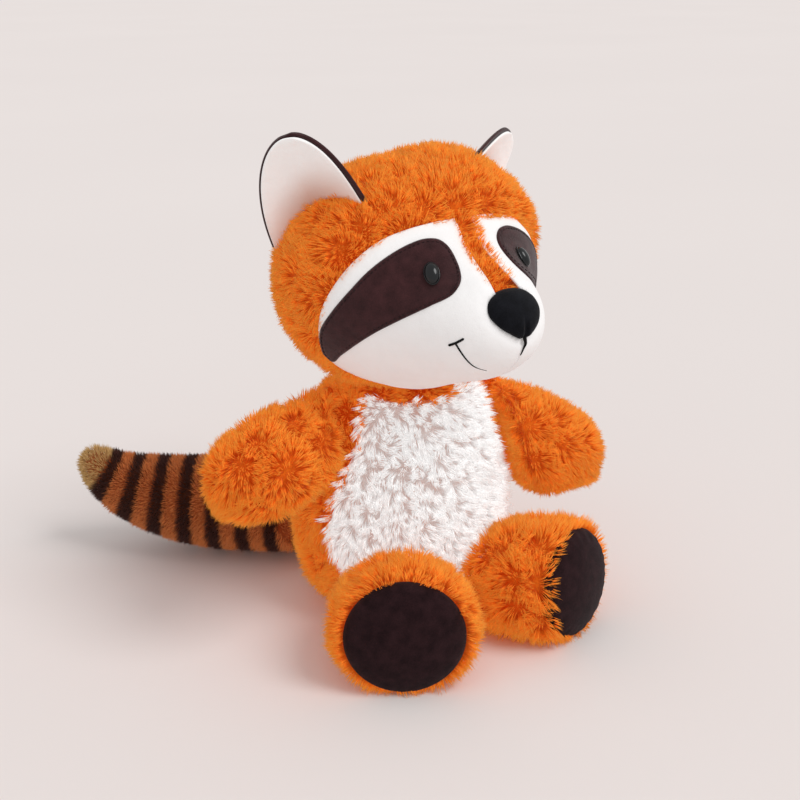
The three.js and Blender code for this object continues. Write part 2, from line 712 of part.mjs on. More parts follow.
const signOf = (side) => (side === "left" ? 1 : -1);
const armHinge = (side) => ({
  at: point(signOf(side) * SHOULDER_SEAM_OUT, 0, TORSO_HEIGHT - SHOULDER_DROP),
  axis: point(0, 0, -signOf(side)),
});

// One arm. Its root stays clear of the torso, and of the head and the leg as they swing.
function armPieces(side) {
  const sign = signOf(side);
  const droop = rad(ARM_DROOP[side]);
  const forward = rad(ARM_FORWARD[side]);
  const shoulder = point(sign * SHOULDER_OUT, 0, TORSO_HEIGHT - SHOULDER_DROP);
  const direction = point(
    sign * Math.cos(droop) * Math.cos(forward),
    -Math.cos(droop) * Math.sin(forward),
    -Math.sin(droop),
  );
  const frame = aimedFrame(shoulder, direction);
  const form = (inset) => solidOf(turned(ARM_PROFILE, inset, ARM_FACETS).applyMatrix4(frame));
  const head = swept(moved(headForm(-JOINT_GAP), headFrame), NECK_HINGE, SWING.head);
  const leftLeg = swept(legForm(-JOINT_GAP), LEG_HINGE, SWING.leg);
  const leg = side === "left" ? leftLeg : mirrored(leftLeg);
  const root = sweptPast(torsoForm(-JOINT_GAP).add(head).add(leg), armHinge(side), SWING.arm);
  const cover = form(0).subtract(form(COVER)).subtract(root);
  const towardsFront = point(-sign, 0, 0).transformDirection(frame);
  const [front, back] = splitAtSeam(cover, shoulder, towardsFront);
  return [
    [`arm_${side}_front_panel`, front, ORANGE_FUR],
    [`arm_${side}_back_panel`, back, ORANGE_FUR],
    [`arm_${side}_fill`, form(COVER + FILL_GAP).subtract(root), FIBRE],
  ];
}

// Tail: its middle line runs level along the floor, then curls up into the tip

const tailRoot = point(0, TAIL_ROOT_BACK, TAIL_ROOT_HEIGHT);
const TAIL_HINGE = { at: tailRoot, axis: Z_AXIS };
const tailSpine = new THREE.CatmullRomCurve3(
  [0, 0.3, 0.6, 0.85, 1].map((t) =>
    tailRoot.clone().add(point(-TAIL_ASIDE * t, TAIL_BACK * t ** 0.75, TAIL_TIP_RISE * t ** 6)),
  ),
);

function tailForm(inset) {
  const radiusAt = (t) => THREE.MathUtils.lerp(TAIL_RADIUS, TAIL_TIP_RADIUS, t ** 3);
  return solidOf(pressedFlat(alongSpine(tailSpine, radiusAt, inset, TAIL_FACETS), inset));
}

function tailPieces() {
  const root = sweptPast(torsoForm(-JOINT_GAP), TAIL_HINGE, SWING.tail);
  const cover = tailForm(0).subtract(tailForm(COVER)).subtract(root);
  const leftwards = Z_AXIS.clone().cross(tailSpine.getPoint(1).sub(tailRoot)).normalize().negate();
  const [left, right] = splitAtSeam(cover, tailRoot, leftwards);
  return [
    ["tail_cover_left", left, STRIPED_PLUSH],
    ["tail_cover_right", right, STRIPED_PLUSH],
    ["tail_fill", tailForm(COVER + FILL_GAP).subtract(root), FIBRE],
  ];
}

// Assembly: each body is a group that stands at its hinge, with its pieces in the group's own frame

function meshOf(name, solid, material, frame) {
  const { vertProperties, triVerts } = moved(solid, frame.clone().invert()).getMesh();
  const shared = new THREE.BufferGeometry();
  shared.setAttribute("position", new THREE.BufferAttribute(Float32Array.from(vertProperties), 3));
  shared.setIndex(new THREE.BufferAttribute(Uint32Array.from(triVerts), 1));
  const geometry = shared.toNonIndexed();
  geometry.computeVertexNormals();
  const mesh = new THREE.Mesh(geometry, material);
  mesh.name = name;
  return mesh;
}

// A group at a frame, holding pieces that were modelled in its parent's frame.
function bodyOf(frame, pieces) {
  const group = new THREE.Group();
  group.applyMatrix4(frame);
  for (const [name, solid, material] of pieces) group.add(meshOf(name, solid, material, frame));
  return group;
}

// A body on one side, from pieces modelled on the left and named with a space for the side.
function addFromLeft(parent, side, leftFrame, pieces) {
  const isLeft = side === "left";
  const named = pieces.map(([name, solid, material]) => [
    name.replace("SIDE", side),
    isLeft ? solid : mirrored(solid),
    material,
  ]);
  parent.add(bodyOf(isLeft ? leftFrame : mirroredFrame(leftFrame), named));
}

const atHinge = (hinge) => new THREE.Matrix4().makeTranslation(hinge.at);

const raccoon = bodyOf(new THREE.Matrix4(), torsoPieces());

const head = bodyOf(new THREE.Matrix4(), headPieces());
head.applyMatrix4(headFrame);
raccoon.add(head);

const leg = legPieces();
for (const side of ["left", "right"]) {
  addFromLeft(head, side, earFrame(side), earPieces(side));
  raccoon.add(bodyOf(atHinge(armHinge(side)), armPieces(side)));
  addFromLeft(raccoon, side, atHinge(LEG_HINGE), leg);
}
raccoon.add(bodyOf(atHinge(TAIL_HINGE), tailPieces()));

export default raccoon;
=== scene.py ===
# %% [markdown]
# # A sitting plush raccoon
# The real toy is sewn from fur-fabric panels, turned right side out and stuffed with fibre. Its
# face is smooth velour with suede eye patches, a velvet nose and two plastic eyes. This lesson
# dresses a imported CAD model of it. The CAD says where each piece is and which pieces move, so
# every piece here is made in the same place and is then tied to the body that carries it.

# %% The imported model
import math

import bmesh
import bpy
import numpy as np
from mathutils import Matrix, Vector, bvhtree, geometry, noise


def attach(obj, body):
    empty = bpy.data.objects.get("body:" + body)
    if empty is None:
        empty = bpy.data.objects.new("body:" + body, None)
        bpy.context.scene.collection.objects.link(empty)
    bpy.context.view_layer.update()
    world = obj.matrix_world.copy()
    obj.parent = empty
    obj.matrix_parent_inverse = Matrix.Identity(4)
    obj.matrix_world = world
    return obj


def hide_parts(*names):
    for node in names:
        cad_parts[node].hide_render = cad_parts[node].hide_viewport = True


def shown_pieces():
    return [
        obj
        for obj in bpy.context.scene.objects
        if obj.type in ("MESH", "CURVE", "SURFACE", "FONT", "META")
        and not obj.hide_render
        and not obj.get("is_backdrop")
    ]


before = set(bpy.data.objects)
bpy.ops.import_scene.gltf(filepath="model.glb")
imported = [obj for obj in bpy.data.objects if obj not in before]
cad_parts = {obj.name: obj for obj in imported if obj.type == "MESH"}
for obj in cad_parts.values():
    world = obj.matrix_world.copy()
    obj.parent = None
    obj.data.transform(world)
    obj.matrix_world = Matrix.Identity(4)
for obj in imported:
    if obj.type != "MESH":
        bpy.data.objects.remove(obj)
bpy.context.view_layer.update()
MM = 0.001
SIDES = {"left": 1, "right": -1}
MIRROR = {side: np.array([sign, 1, 1]) for side, sign in SIDES.items()}

# %% [markdown]
# ## Camera
# The photograph looks down a little at the toy from its right front. A short lens close by and a
# long one far off can show the toy at one size, but in different perspective, so the distance
# matters as much as the angle. The camera is aimed with a direction vector, which stays readable
# when one of its values moves.

# %% Camera
IMAGE_PIXELS = 800
FOCAL_PIXELS = 1180
SENSOR_WIDTH = 36
CAMERA_ROUND = math.radians(-31)
CAMERA_AWAY = 690 * MM
CAMERA_HEIGHT = 390 * MM
LOOK_AT = Vector((0, 0, 130 * MM))


def add_object(name, data):
    thing = bpy.data.objects.new(name, data)
    bpy.context.scene.collection.objects.link(thing)
    return thing


def aim(thing, at, towards):
    thing.location = at
    thing.rotation_euler = (towards - at).to_track_quat("-Z", "Y").to_euler()


camera = add_object("camera", bpy.data.cameras.new("camera"))
camera.data.sensor_width = SENSOR_WIDTH
camera.data.lens = SENSOR_WIDTH * FOCAL_PIXELS / IMAGE_PIXELS
camera.data.clip_end = 100
camera_place = Vector((
    math.sin(CAMERA_ROUND) * CAMERA_AWAY,
    -math.cos(CAMERA_ROUND) * CAMERA_AWAY,
    CAMERA_HEIGHT,
))
aim(camera, camera_place, LOOK_AT)
bpy.context.scene.camera = camera
print("camera at", [round(x, 3) for x in camera_place], "lens", round(camera.data.lens, 1), "mm")

# %% [markdown]
# ## Writing node trees as sums
# A material or a Geometry Nodes tree is a drawing of arithmetic. Clicked together it is quick to
# see, but a script of single node calls is hard to read. Here one small class wraps a socket and
# lets ordinary + - * / add the Math nodes, and one method adds every other kind of node.


# %% Sockets that can be added and multiplied
class Wire:
    """A node's output, with arithmetic. A sum with a vector in it becomes Vector Math."""

    def __init__(self, sheet, socket):
        self.sheet = sheet
        self.socket = socket

    def other(self, name):
        """Another output of the same node."""
        outputs = self.socket.node.outputs
        return Wire(self.sheet, next(s for s in outputs if s.name == name and s.enabled))

    def is_vector(self):
        return self.socket.type in ("VECTOR", "RGBA")

    def work(self, operation, first, second):
        wires = [side for side in (first, second) if isinstance(side, Wire)]
        if not any(wire.is_vector() for wire in wires):
            return self.sheet.add("ShaderNodeMath", {"operation": operation}, {0: first, 1: second})
        if operation == "MULTIPLY":
            vector, factor = (first, second) if first in wires and first.is_vector() else (second, first)
            if not (isinstance(factor, Wire) and factor.is_vector()):
                values = {"Vector": vector, "Scale": factor}
                return self.sheet.add("ShaderNodeVectorMath", {"operation": "SCALE"}, values)
        return self.sheet.add("ShaderNodeVectorMath", {"operation": operation}, {0: first, 1: second})

    def __add__(self, more):
        return self.work("ADD", self, more)

    def __radd__(self, more):
        return self.work("ADD", more, self)

    def __sub__(self, less):
        return self.work("SUBTRACT", self, less)

    def __rsub__(self, whole):
        return self.work("SUBTRACT", whole, self)

    def __mul__(self, factor):
        return self.work("MULTIPLY", self, factor)

    def __rmul__(self, factor):
        return self.work("MULTIPLY", self, factor)

    def __truediv__(self, share):
        return self.work("DIVIDE", self, share)


class Sheet:
    """A node tree that is being drawn."""

    def __init__(self, tree):
        self.tree = tree

    def add(self, kind, settings=None, values=None):
        """A node with its settings made first, then its sockets filled or linked: its first output."""
        node = self.tree.nodes.new(kind)
        for name, value in (settings or {}).items():
            setattr(node, name, value)
        for key, value in (values or {}).items():
            if isinstance(key, str):
                socket = next(s for s in node.inputs if s.name == key and s.enabled)
            else:
                socket = node.inputs[key]
            if isinstance(value, Wire):
                self.tree.links.new(value.socket, socket)
            else:
                socket.default_value = value
        shown = [s for s in node.outputs if s.enabled]
        return Wire(self, shown[0]) if shown else node

    def ramp(self, value, stops):
        """Colours along a value: each stop is a place and a colour."""
        colours = self.add("ShaderNodeValToRGB", None, {0: value})
        elements = colours.socket.node.color_ramp.elements
        for element, (place, colour) in zip(elements, (stops[0], stops[-1])):
            element.position = place
            element.color = (*colour, 1)
        for place, colour in stops[1:-1]:
            elements.new(place).color = (*colour, 1)
        return colours


# %% [markdown]
# ## Floor and light
# The toy sits on a pale floor in soft light from the upper right. A sun lamp with a wide disc gives
# soft shadows and lights a large floor evenly, where an area lamp would leave its far end dark.
# Lamp and world together light a level white surface to about 1, so colours render as written.

# %% Floor, world and lamp
FLOOR_RADIUS = 16
FLOOR_SIDES = 96
FLOOR_COLOUR = (0.80, 0.74, 0.72)
FLOOR_GRAIN = 40.0  # blotches to a metre
FLOOR_SHADE = 0.985  # how dark a blotch is, as a share of the floor's colour
AMBIENT = 0.71
SUN_STRENGTH = 1.25
SUN_DISC = math.radians(30)
SUN_FROM = Vector((0.5, -0.85, 1.2))


def new_material(name):
    material = bpy.data.materials.new(name)
    material.use_nodes = True
    material.node_tree.nodes.clear()
    return material, Sheet(material.node_tree)


def finished(material, sheet, shader):
    sheet.add("ShaderNodeOutputMaterial", None, {"Surface": shader})
    return material


def darker(colour, share):
    return tuple(share * channel for channel in colour)


def rework(mesh, change):
    """Opens a mesh for Blender's mesh operators, lets a function change it and puts it back."""
    whole = bmesh.new()
    whole.from_mesh(mesh)
    change(whole)
    whole.to_mesh(mesh)
    whole.free()


def floor_paint():
    material, sheet = new_material("floor_paint")
    grain = sheet.add("ShaderNodeTexNoise", None, {"Scale": FLOOR_GRAIN, "Detail": 4.0})
    tone = sheet.ramp(grain, [(0.3, darker(FLOOR_COLOUR, FLOOR_SHADE)), (0.7, FLOOR_COLOUR)])
    return finished(material, sheet, sheet.add("ShaderNodeBsdfDiffuse", None, {"Color": tone}))


floor = add_object("floor", bpy.data.meshes.new("floor"))
rework(floor.data, lambda whole: bmesh.ops.create_circle(
    whole, cap_ends=True, radius=FLOOR_RADIUS, segments=FLOOR_SIDES
))
floor.data.materials.append(floor_paint())
floor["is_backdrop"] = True

scene = bpy.context.scene
scene.view_settings.view_transform = "Standard"
world = bpy.data.worlds.new("soft_room")
world.use_nodes = True
world.node_tree.nodes.clear()
sheet = Sheet(world.node_tree)
sheet.add("ShaderNodeOutputWorld", None, {
    "Surface": sheet.add("ShaderNodeBackground", None, {"Color": (1, 1, 1, 1), "Strength": AMBIENT}),
})
scene.world = world
sun = add_object("sun", bpy.data.lights.new("sun", "SUN"))
sun.data.energy = SUN_STRENGTH
sun.data.angle = SUN_DISC
aim(sun, SUN_FROM, Vector((0, 0, 0)))
print("level white renders to", round(AMBIENT + SUN_STRENGTH * SUN_FROM.normalized().z / math.pi, 2))

# %% [markdown]
# ## Fabrics
# Long pile looks deep because light is lost between the hairs: the roots are dark and saturated,
# the tips pale. Each strand of fur therefore carries how far along it a point lies, and a ramp
# turns that into colour. Each strand and each tuft also carries a random shade, since no two tufts
# on a real toy are quite alike. Real hairs hand light on to each other, which solid strands can't,
# so a little glow stands in for it. Velour, suede and velvet have a pile too short to model: noise
# in object space gives their mottling and a fine bump gives their nap.

# %% Colours of the fabrics
ORANGE_ROOT = (0.60, 0.070, 0.005)
ORANGE_MIDDLE = (0.97, 0.205, 0.014)
ORANGE_TIP = (1.0, 0.375, 0.050)
WHITE_ROOT = (0.86, 0.835, 0.825)
WHITE_MIDDLE = (0.89, 0.875, 0.87)
WHITE_TIP = (0.90, 0.89, 0.885)
RUST_ROOT = (0.50, 0.115, 0.030)
RUST_TIP = (0.68, 0.225, 0.070)
TAN_ROOT = (0.50, 0.25, 0.08)
TAN_TIP = (0.66, 0.42, 0.17)
BAND_ROOT = (0.022, 0.007, 0.005)
BAND_TIP = (0.065, 0.024, 0.018)
SHEEN_ROUGHNESS = 0.5
CLOTH_SHINE = 0.06


def attribute(sheet, name):
    return sheet.add("ShaderNodeAttribute", {"attribute_name": name}).other("Fac")


def mixed(sheet, factor, first, second):
    """Between two colours, each a wire or three numbers."""
    first, second = [c if isinstance(c, Wire) else (*c, 1) for c in (first, second)]
    return sheet.add("ShaderNodeMix", {"data_type": "RGBA"}, {"Factor": factor, "A": first, "B": second})


def cloth_shader(sheet, colour, roughness, sheen, bump=None, glow=0.0):
    values = {
        "Base Color": colour,
        "Roughness": roughness,
        "Sheen Weight": sheen,
        "Sheen Roughness": SHEEN_ROUGHNESS,
        "Specular IOR Level": CLOTH_SHINE,
    }
    # A glow is painted light: the cloth gives off light in its own colour
    if glow:
        values.update({"Emission Color": colour, "Emission Strength": glow})
    if bump is not None:
        values["Normal"] = bump
    return sheet.add("ShaderNodeBsdfPrincipled", None, values)


def object_place(sheet):
    return sheet.add("ShaderNodeTexCoord").other("Object")


def noise_of(sheet, place, size, detail=2.0):
    """Noise whose blotches are about `size` metres across."""
    return sheet.add("ShaderNodeTexNoise", None, {"Vector": place, "Scale": 1 / size, "Detail": detail})


def bump_of(sheet, height, depth):
    return sheet.add("ShaderNodeBump", None, {"Height": height, "Distance": depth, "Strength": 1.0})


def shaded(sheet, colour, darkest):
    """A colour darkened strand by strand and tuft by tuft, to a share of itself at most."""
    level = attribute(sheet, "shade") * 0.5 + attribute(sheet, "tuft") * 0.5
    return colour * (level * (1 - darkest) + darkest)


# %% Pile materials
def pile_material(name, stops, darkest, glow):
    material, sheet = new_material(name)
    colour = shaded(sheet, sheet.ramp(attribute(sheet, "along"), stops), darkest)
    shader = cloth_shader(sheet, colour, roughness=0.8, sheen=0.03, glow=glow)
    return finished(material, sheet, shader)


def banded_pile_material():
    material, sheet = new_material("banded_pile")
    along = attribute(sheet, "along")
    pairs = ((RUST_ROOT, RUST_TIP), (TAN_ROOT, TAN_TIP), (BAND_ROOT, BAND_TIP))
    rust, tan, dark = (sheet.ramp(along, [(0, root), (1, tip)]) for root, tip in pairs)
    colour = mixed(sheet, attribute(sheet, "end"), rust, tan)
    colour = mixed(sheet, attribute(sheet, "band"), colour, dark)
    colour = shaded(sheet, colour, darkest=0.75)
    shader = cloth_shader(sheet, colour, roughness=0.8, sheen=0.05, glow=0.2)
    return finished(material, sheet, shader)


ORANGE_STOPS = [(0, ORANGE_ROOT), (0.5, ORANGE_MIDDLE), (1, ORANGE_TIP)]
WHITE_STOPS = [(0, WHITE_ROOT), (0.45, WHITE_MIDDLE), (1, WHITE_TIP)]
orange_pile = pile_material("orange_pile", ORANGE_STOPS, darkest=0.66, glow=0.36)
white_pile = pile_material("white_pile", WHITE_STOPS, darkest=0.96, glow=0.42)
banded_pile = banded_pile_material()


# %% Backing cloth under the pile
KNIT_SIZE = 1.1 * MM


def backing_material(name, first, second, mask):
    """Knitted ground of a fur fabric: two colours, mixed by an attribute of its points."""
    material, sheet = new_material(name)
    place = object_place(sheet)
    knit = sheet.add("ShaderNodeTexVoronoi", None, {"Vector": place, "Scale": 1 / KNIT_SIZE})
    colour = mixed(sheet, attribute(sheet, mask), first, second)
    blotches = noise_of(sheet, place, size=6 * MM)
    colour = mixed(sheet, blotches * 0.6, colour, darker(first, 0.6))
    bump = bump_of(sheet, knit, depth=0.4 * MM)
    return finished(material, sheet, cloth_shader(sheet, colour, roughness=0.9, sheen=0.1, bump=bump))


body_backing = backing_material("body_backing", ORANGE_MIDDLE, WHITE_MIDDLE, "white")
tail_backing = backing_material("tail_backing", RUST_ROOT, BAND_ROOT, "band")


# %% Short-pile cloths
NAP_FROM, NAP_TO = 0.36, 0.68  # noise levels at which a brushed nap is all dark and all pale


def velour_material(name, colour, blush=None, glow=0.0):
    material, sheet = new_material(name)
    place = object_place(sheet)
    mottled = mixed(sheet, noise_of(sheet, place, size=14 * MM), darker(colour, 0.93), colour)
    # Painted shade: a warm tan mixed in by an attribute, for the shade in a crease and the orange light the
    # fur throws into it
    if blush is not None:
        mottled = mixed(sheet, attribute(sheet, "blush"), mottled, blush)
    nap = noise_of(sheet, place, size=0.5 * MM, detail=3.0)
    soft = noise_of(sheet, place, size=5 * MM)
    bump = bump_of(sheet, nap * 0.5 + soft, depth=0.35 * MM)
    shader = cloth_shader(sheet, mottled, roughness=0.85, sheen=0.1, bump=bump, glow=glow)
    return finished(material, sheet, shader)


def napped_material(name, dark, pale, roughness, sheen, depth):
    """Suede or velvet: brushed nap that lies in changing directions, with paler flecks."""
    material, sheet = new_material(name)
    place = object_place(sheet)
    strokes = noise_of(sheet, place, size=6 * MM, detail=3.0)
    nap = noise_of(sheet, place, size=0.45 * MM, detail=3.0)
    level = sheet.add("ShaderNodeMapRange", None, {
        "Value": strokes * 0.5 + nap * 0.5,
        "From Min": NAP_FROM,
        "From Max": NAP_TO,
    })
    colour = mixed(sheet, level, dark, pale)
    bump = bump_of(sheet, nap + strokes, depth)
    return finished(material, sheet, cloth_shader(sheet, colour, roughness, sheen, bump))


# The velours' glow is painted light, which makes them brighter than the lamps alone would
white_velour = velour_material("white_velour", (0.88, 0.865, 0.86), glow=0.12)
# The ear's tan is painted shade at its foot, with the orange light that the fur throws there
ear_velour = velour_material("ear_velour", (0.88, 0.87, 0.86), blush=(0.45, 0.20, 0.11), glow=0.18)
NAPS = {  # dark and pale colour, roughness, sheen, depth of the nap
    "brown_suede": ((0.026, 0.0078, 0.0088), (0.060, 0.019, 0.021), 0.85, 0.30, 0.25 * MM),
    "sole_suede": ((0.010, 0.0036, 0.0046), (0.030, 0.0115, 0.0135), 0.85, 0.05, 0.25 * MM),
    "black_velvet": ((0.003, 0.0031, 0.0045), (0.009, 0.0095, 0.013), 0.75, 0.05, 0.2 * MM),
    "dark_thread": ((0.010, 0.004, 0.005), (0.03, 0.015, 0.016), 0.7, 0.1, 0.1 * MM),
    "black_thread": ((0.003, 0.003, 0.003), (0.010, 0.010, 0.010), 0.6, 0.05, 0.1 * MM),
}
brown_suede, sole_suede, black_velvet, dark_thread, black_thread = (
    napped_material(name, *look) for name, look in NAPS.items()
)


# %% Plastics
HAZE = 0.08  # how much rougher the dull blotches are
PLASTIC_SHINE = 0.3
COAT_ROUGHNESS = 0.05


def plastic_material(name, colour, roughness, coat):
    material, sheet = new_material(name)
    place = object_place(sheet)
    haze = noise_of(sheet, place, size=2 * MM)
    ripple = noise_of(sheet, place, size=6 * MM)
    shader = sheet.add("ShaderNodeBsdfPrincipled", None, {
        "Base Color": mixed(sheet, haze, darker(colour, 0.85), colour),
        "Roughness": haze * HAZE + roughness,
        "Specular IOR Level": PLASTIC_SHINE,
        "Coat Weight": coat,
        "Coat Roughness": COAT_ROUGHNESS,
        "Normal": bump_of(sheet, ripple, depth=0.05 * MM),
    })
    return finished(material, sheet, shader)


eye_plastic = plastic_material("eye_plastic", (0.005, 0.006, 0.007), roughness=0.12, coat=0.22)
washer_plastic = plastic_material("washer_plastic", (0.70, 0.70, 0.68), roughness=0.45, coat=0.0)
print("materials:", len(bpy.data.materials))

# %% [markdown]
# ## Mesh helpers
# Most pieces here are computed as arrays of points and turned into a mesh at the end. Numpy is far
# quicker than visiting vertices one by one, and a formula stays as short as on paper.


# %% Arrays in and out of meshes
def vectors_in(rows, key):
    """What every row of a mesh's list holds under a name, as an array of three columns."""
    flat = np.empty(len(rows) * 3, np.float32)
    rows.foreach_get(key, flat)
    return flat.reshape(-1, 3).astype(np.float64)


def points_of(mesh):
    return vectors_in(mesh.vertices, "co")


def normals_of(mesh):
    return vectors_in(mesh.vertex_normals, "vector")


def put_points(mesh, points):
    mesh.vertices.foreach_set("co", np.asarray(points, np.float64).ravel())
    mesh.update()


def lifted(mesh, lowest):
    """Brings every point of a mesh up to a least height above the floor."""
    points = points_of(mesh)
    points[:, 2] = np.maximum(points[:, 2], lowest)
    put_points(mesh, points)


def set_attribute(mesh, name, values):
    """One number or one vector for each point."""
    values = np.asarray(values, np.float32)
    kind, key = ("FLOAT_VECTOR", "vector") if values.ndim == 2 else ("FLOAT", "value")
    mesh.attributes.new(name, kind, "POINT").data.foreach_set(key, values.ravel())


def new_mesh(name, points, faces):
    mesh = bpy.data.meshes.new(name)
    mesh.from_pydata(np.asarray(points).tolist(), [], [list(map(int, f)) for f in faces])
    mesh.validate()
    mesh.shade_smooth()
    return mesh


def facing_out(rings, side):
    """The faces of a piece drawn for the left: on the right, the mirrored copy's are turned back."""
    return rings if side == "left" else [ring[::-1] for ring in rings]


def settle(thing, body, replaced=(), material=None):
    """What every finished piece gets: its cloth, its body and the CAD nodes it stands for."""
    if material is not None:
        thing.data.materials.clear()
        thing.data.materials.append(material)
    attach(thing, body)
    if replaced:
        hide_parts(*replaced)
    return thing


def add_piece(name, points, faces, body, slot, replaced, material):
    """A finished piece made of points and faces."""
    return settle(add_object(name, new_mesh(name, points, faces)), body, replaced, material)


def unit(vectors):
    return vectors / np.maximum(np.linalg.norm(vectors, axis=-1, keepdims=True), 1e-12)


def smooth_step(x):
    """From 0 to 1 while x goes from 0 to 1, and level at both ends."""
    t = np.clip(x, 0, 1)
    return t * t * (3 - 2 * t)


def join_meshes(parts):
    """Several (points, faces) as one."""
    points = []
    faces = []
    for more, rings in parts:
        start = sum(len(p) for p in points)
        points.append(np.asarray(more))
        faces += [[i + start for i in ring] for ring in rings]
    return np.concatenate(points), faces


# %% [markdown]
# ## Stuffed bodies
# Under the fur, each body of the toy is a cloth skin blown tight by its stuffing. The CAD solids
# are stiff facets. Cloth simulation rounds them off as stuffing does: a copy is remeshed to even
# quads, shrunk, and blown up from inside by pressure, while a cap keeps each point close to where
# the pattern puts it. The recipe is the same for the torso, head, arms, legs and tail.

# %% The stuffing recipe
VOXEL = 4 * MM
SHRINK = 6.4 * MM
SWELL_CAP = 2.2 * MM
PRESSURE = 4
SWELL_FRAMES = 20
CLOTH_QUALITY = 5
SMOOTH_ROUNDS = 4
FLOOR_CLEARANCE = 0.6 * MM
SAME_POINT = 0.001 * MM  # points closer than this are one


def joined_copy(name, nodes):
    """Copies of CAD nodes in one mesh, with their loose triangles merged."""
    whole = bmesh.new()
    for node in nodes:
        whole.from_mesh(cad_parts[node].data)
    bmesh.ops.remove_doubles(whole, verts=whole.verts, dist=SAME_POINT)
    mesh = bpy.data.meshes.new(name)
    whole.to_mesh(mesh)
    whole.free()
    return add_object(name, mesh)


def applied(thing):
    """Bakes an object's modifiers into its mesh and takes them off."""
    graph = bpy.context.evaluated_depsgraph_get()
    mesh = bpy.data.meshes.new_from_object(
        thing.evaluated_get(graph), preserve_all_data_layers=True, depsgraph=graph
    )
    thing.modifiers.clear()
    thing.data = mesh
    return thing


def keep_largest_part(whole):
    """Remeshing a cover round its stuffing can leave hollows inside: only the skin stays."""
    left = set(whole.verts)
    parts = []
    while left:
        part = set()
        edge = [left.pop()]
        while edge:
            vertex = edge.pop()
            part.add(vertex)
            near = [e.other_vert(vertex) for e in vertex.link_edges]
            fresh = [v for v in near if v in left]
            left.difference_update(fresh)
            edge += fresh
        parts.append(part)
    parts.sort(key=len)
    for part in parts[:-1]:
        bmesh.ops.delete(whole, geom=list(part), context="VERTS")


def swell(thing):
    """Blows the skin up with the cloth solver, no point further than the cap."""
    start = points_of(thing.data)
    cloth = thing.modifiers.new("stuffing", "CLOTH")
    cloth.settings.quality = CLOTH_QUALITY
    cloth.settings.use_pressure = True
    cloth.settings.uniform_pressure_force = PRESSURE
    cloth.settings.effector_weights.gravity = 0
    cloth.point_cache.frame_end = SWELL_FRAMES
    for step in range(1, SWELL_FRAMES + 1):
        scene.frame_set(step)
    swollen = applied(thing)
    scene.frame_set(1)
    moved = points_of(swollen.data) - start
    far = np.linalg.norm(moved, axis=1, keepdims=True)
    moved *= np.minimum(1, SWELL_CAP / np.maximum(far, 1e-9))
    put_points(thing.data, start + moved)


def smooth_out(whole):
    every_way = {f"use_axis_{axis}": True for axis in "xyz"}
    for _ in range(SMOOTH_ROUNDS):
        bmesh.ops.smooth_vert(whole, verts=whole.verts, factor=0.5, **every_way)


def stuffed(name, nodes):
    skin = joined_copy(name, nodes)
    remesh = skin.modifiers.new("even", "REMESH")
    remesh.mode = "VOXEL"
    remesh.voxel_size = VOXEL
    applied(skin)
    rework(skin.data, keep_largest_part)
    rework(skin.data, smooth_out)
    depth = SHRINK
    put_points(skin.data, points_of(skin.data) - depth * normals_of(skin.data))
    swell(skin)
    finer = skin.modifiers.new("finer", "SUBSURF")
    finer.levels = 1
    finer.render_levels = 1
    applied(skin)
    lifted(skin.data, FLOOR_CLEARANCE)
    skin.data.shade_smooth()
    return skin


# %% Stuff the seven bodies
TORSO_PANELS = ["torso_cover_left", "torso_cover_right", "belly_panel", "seat_panel"]
HEAD_PANELS = ["head_cover_left", "head_cover_right", "forehead_gusset", "cheek_left", "cheek_right"]
TAIL_PANELS = ["tail_cover_left", "tail_cover_right"]
TORSO_COVERS = TORSO_PANELS[:2]
BELLY = TORSO_PANELS.index("belly_panel")
GUSSET = HEAD_PANELS.index("forehead_gusset")
CHEEKS = HEAD_PANELS[3:]
PADDINGS = {
    "torso": [*TORSO_PANELS, "torso_fill"],
    "head": [*HEAD_PANELS, "head_fill"],
    "tail": [*TAIL_PANELS, "tail_fill"],
}
for side in SIDES:
    PADDINGS[f"arm_{side}"] = [f"arm_{side}_front_panel", f"arm_{side}_back_panel", f"arm_{side}_fill"]
    PADDINGS[f"leg_{side}"] = [f"leg_{side}_cover", f"leg_{side}_sole", f"leg_{side}_fill"]

paddings = {body: stuffed(f"{body}_padding", nodes) for body, nodes in PADDINGS.items()}
for body, padding in paddings.items():
    size = np.ptp(points_of(padding.data), axis=0) / MM
    print(body, "stuffed to", np.round(size).tolist(), "mm,", len(padding.data.polygons), "faces")

# %% [markdown]
# ## Which panel is where
# The fur grows from the skin, but its colour, length and direction depend on the panel it belongs
# to. Each face of a skin is given to the CAD panel that lies nearest to it, so the seams run where
# the pattern has them.


# %% Faces shared out among the panels
BELLY_MIDDLE = np.array([0, 0, 70]) * MM
CHIN_ROUND = 61  # degrees round from the front, seen from the belly's middle
CHIN_FROM, CHIN_TO = 42, 64  # degrees up


def panel_search(nodes):
    """A search tree over several nodes, and which node each of its triangles came from."""
    points = []
    triangles = []
    owner = []
    for number, node in enumerate(nodes):
        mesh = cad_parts[node].data
        start = len(points)
        points += [tuple(v.co) for v in mesh.vertices]
        for polygon in mesh.polygons:
            triangles.append([start + i for i in polygon.vertices])
            owner.append(number)
    return bvhtree.BVHTree.FromPolygons(points, triangles), owner


def nearest_panels(places, nodes):
    search, owner = panel_search(nodes)
    return np.array([owner[search.find_nearest(Vector(place))[2]] for place in places])


def distance_to(places, nodes):
    search, _ = panel_search(nodes)
    return np.array([search.find_nearest(Vector(place))[3] for place in places])


def beside_chin(points):
    """Where the photograph shows white pile a little further up and out than the belly's own panel."""
    x, y, z = (points - BELLY_MIDDLE).T
    round_front = np.degrees(np.arctan2(np.abs(x), -y))
    up = np.degrees(np.arctan2(z, np.hypot(x, y)))
    return (round_front < CHIN_ROUND) & (up > CHIN_FROM) & (up < CHIN_TO)


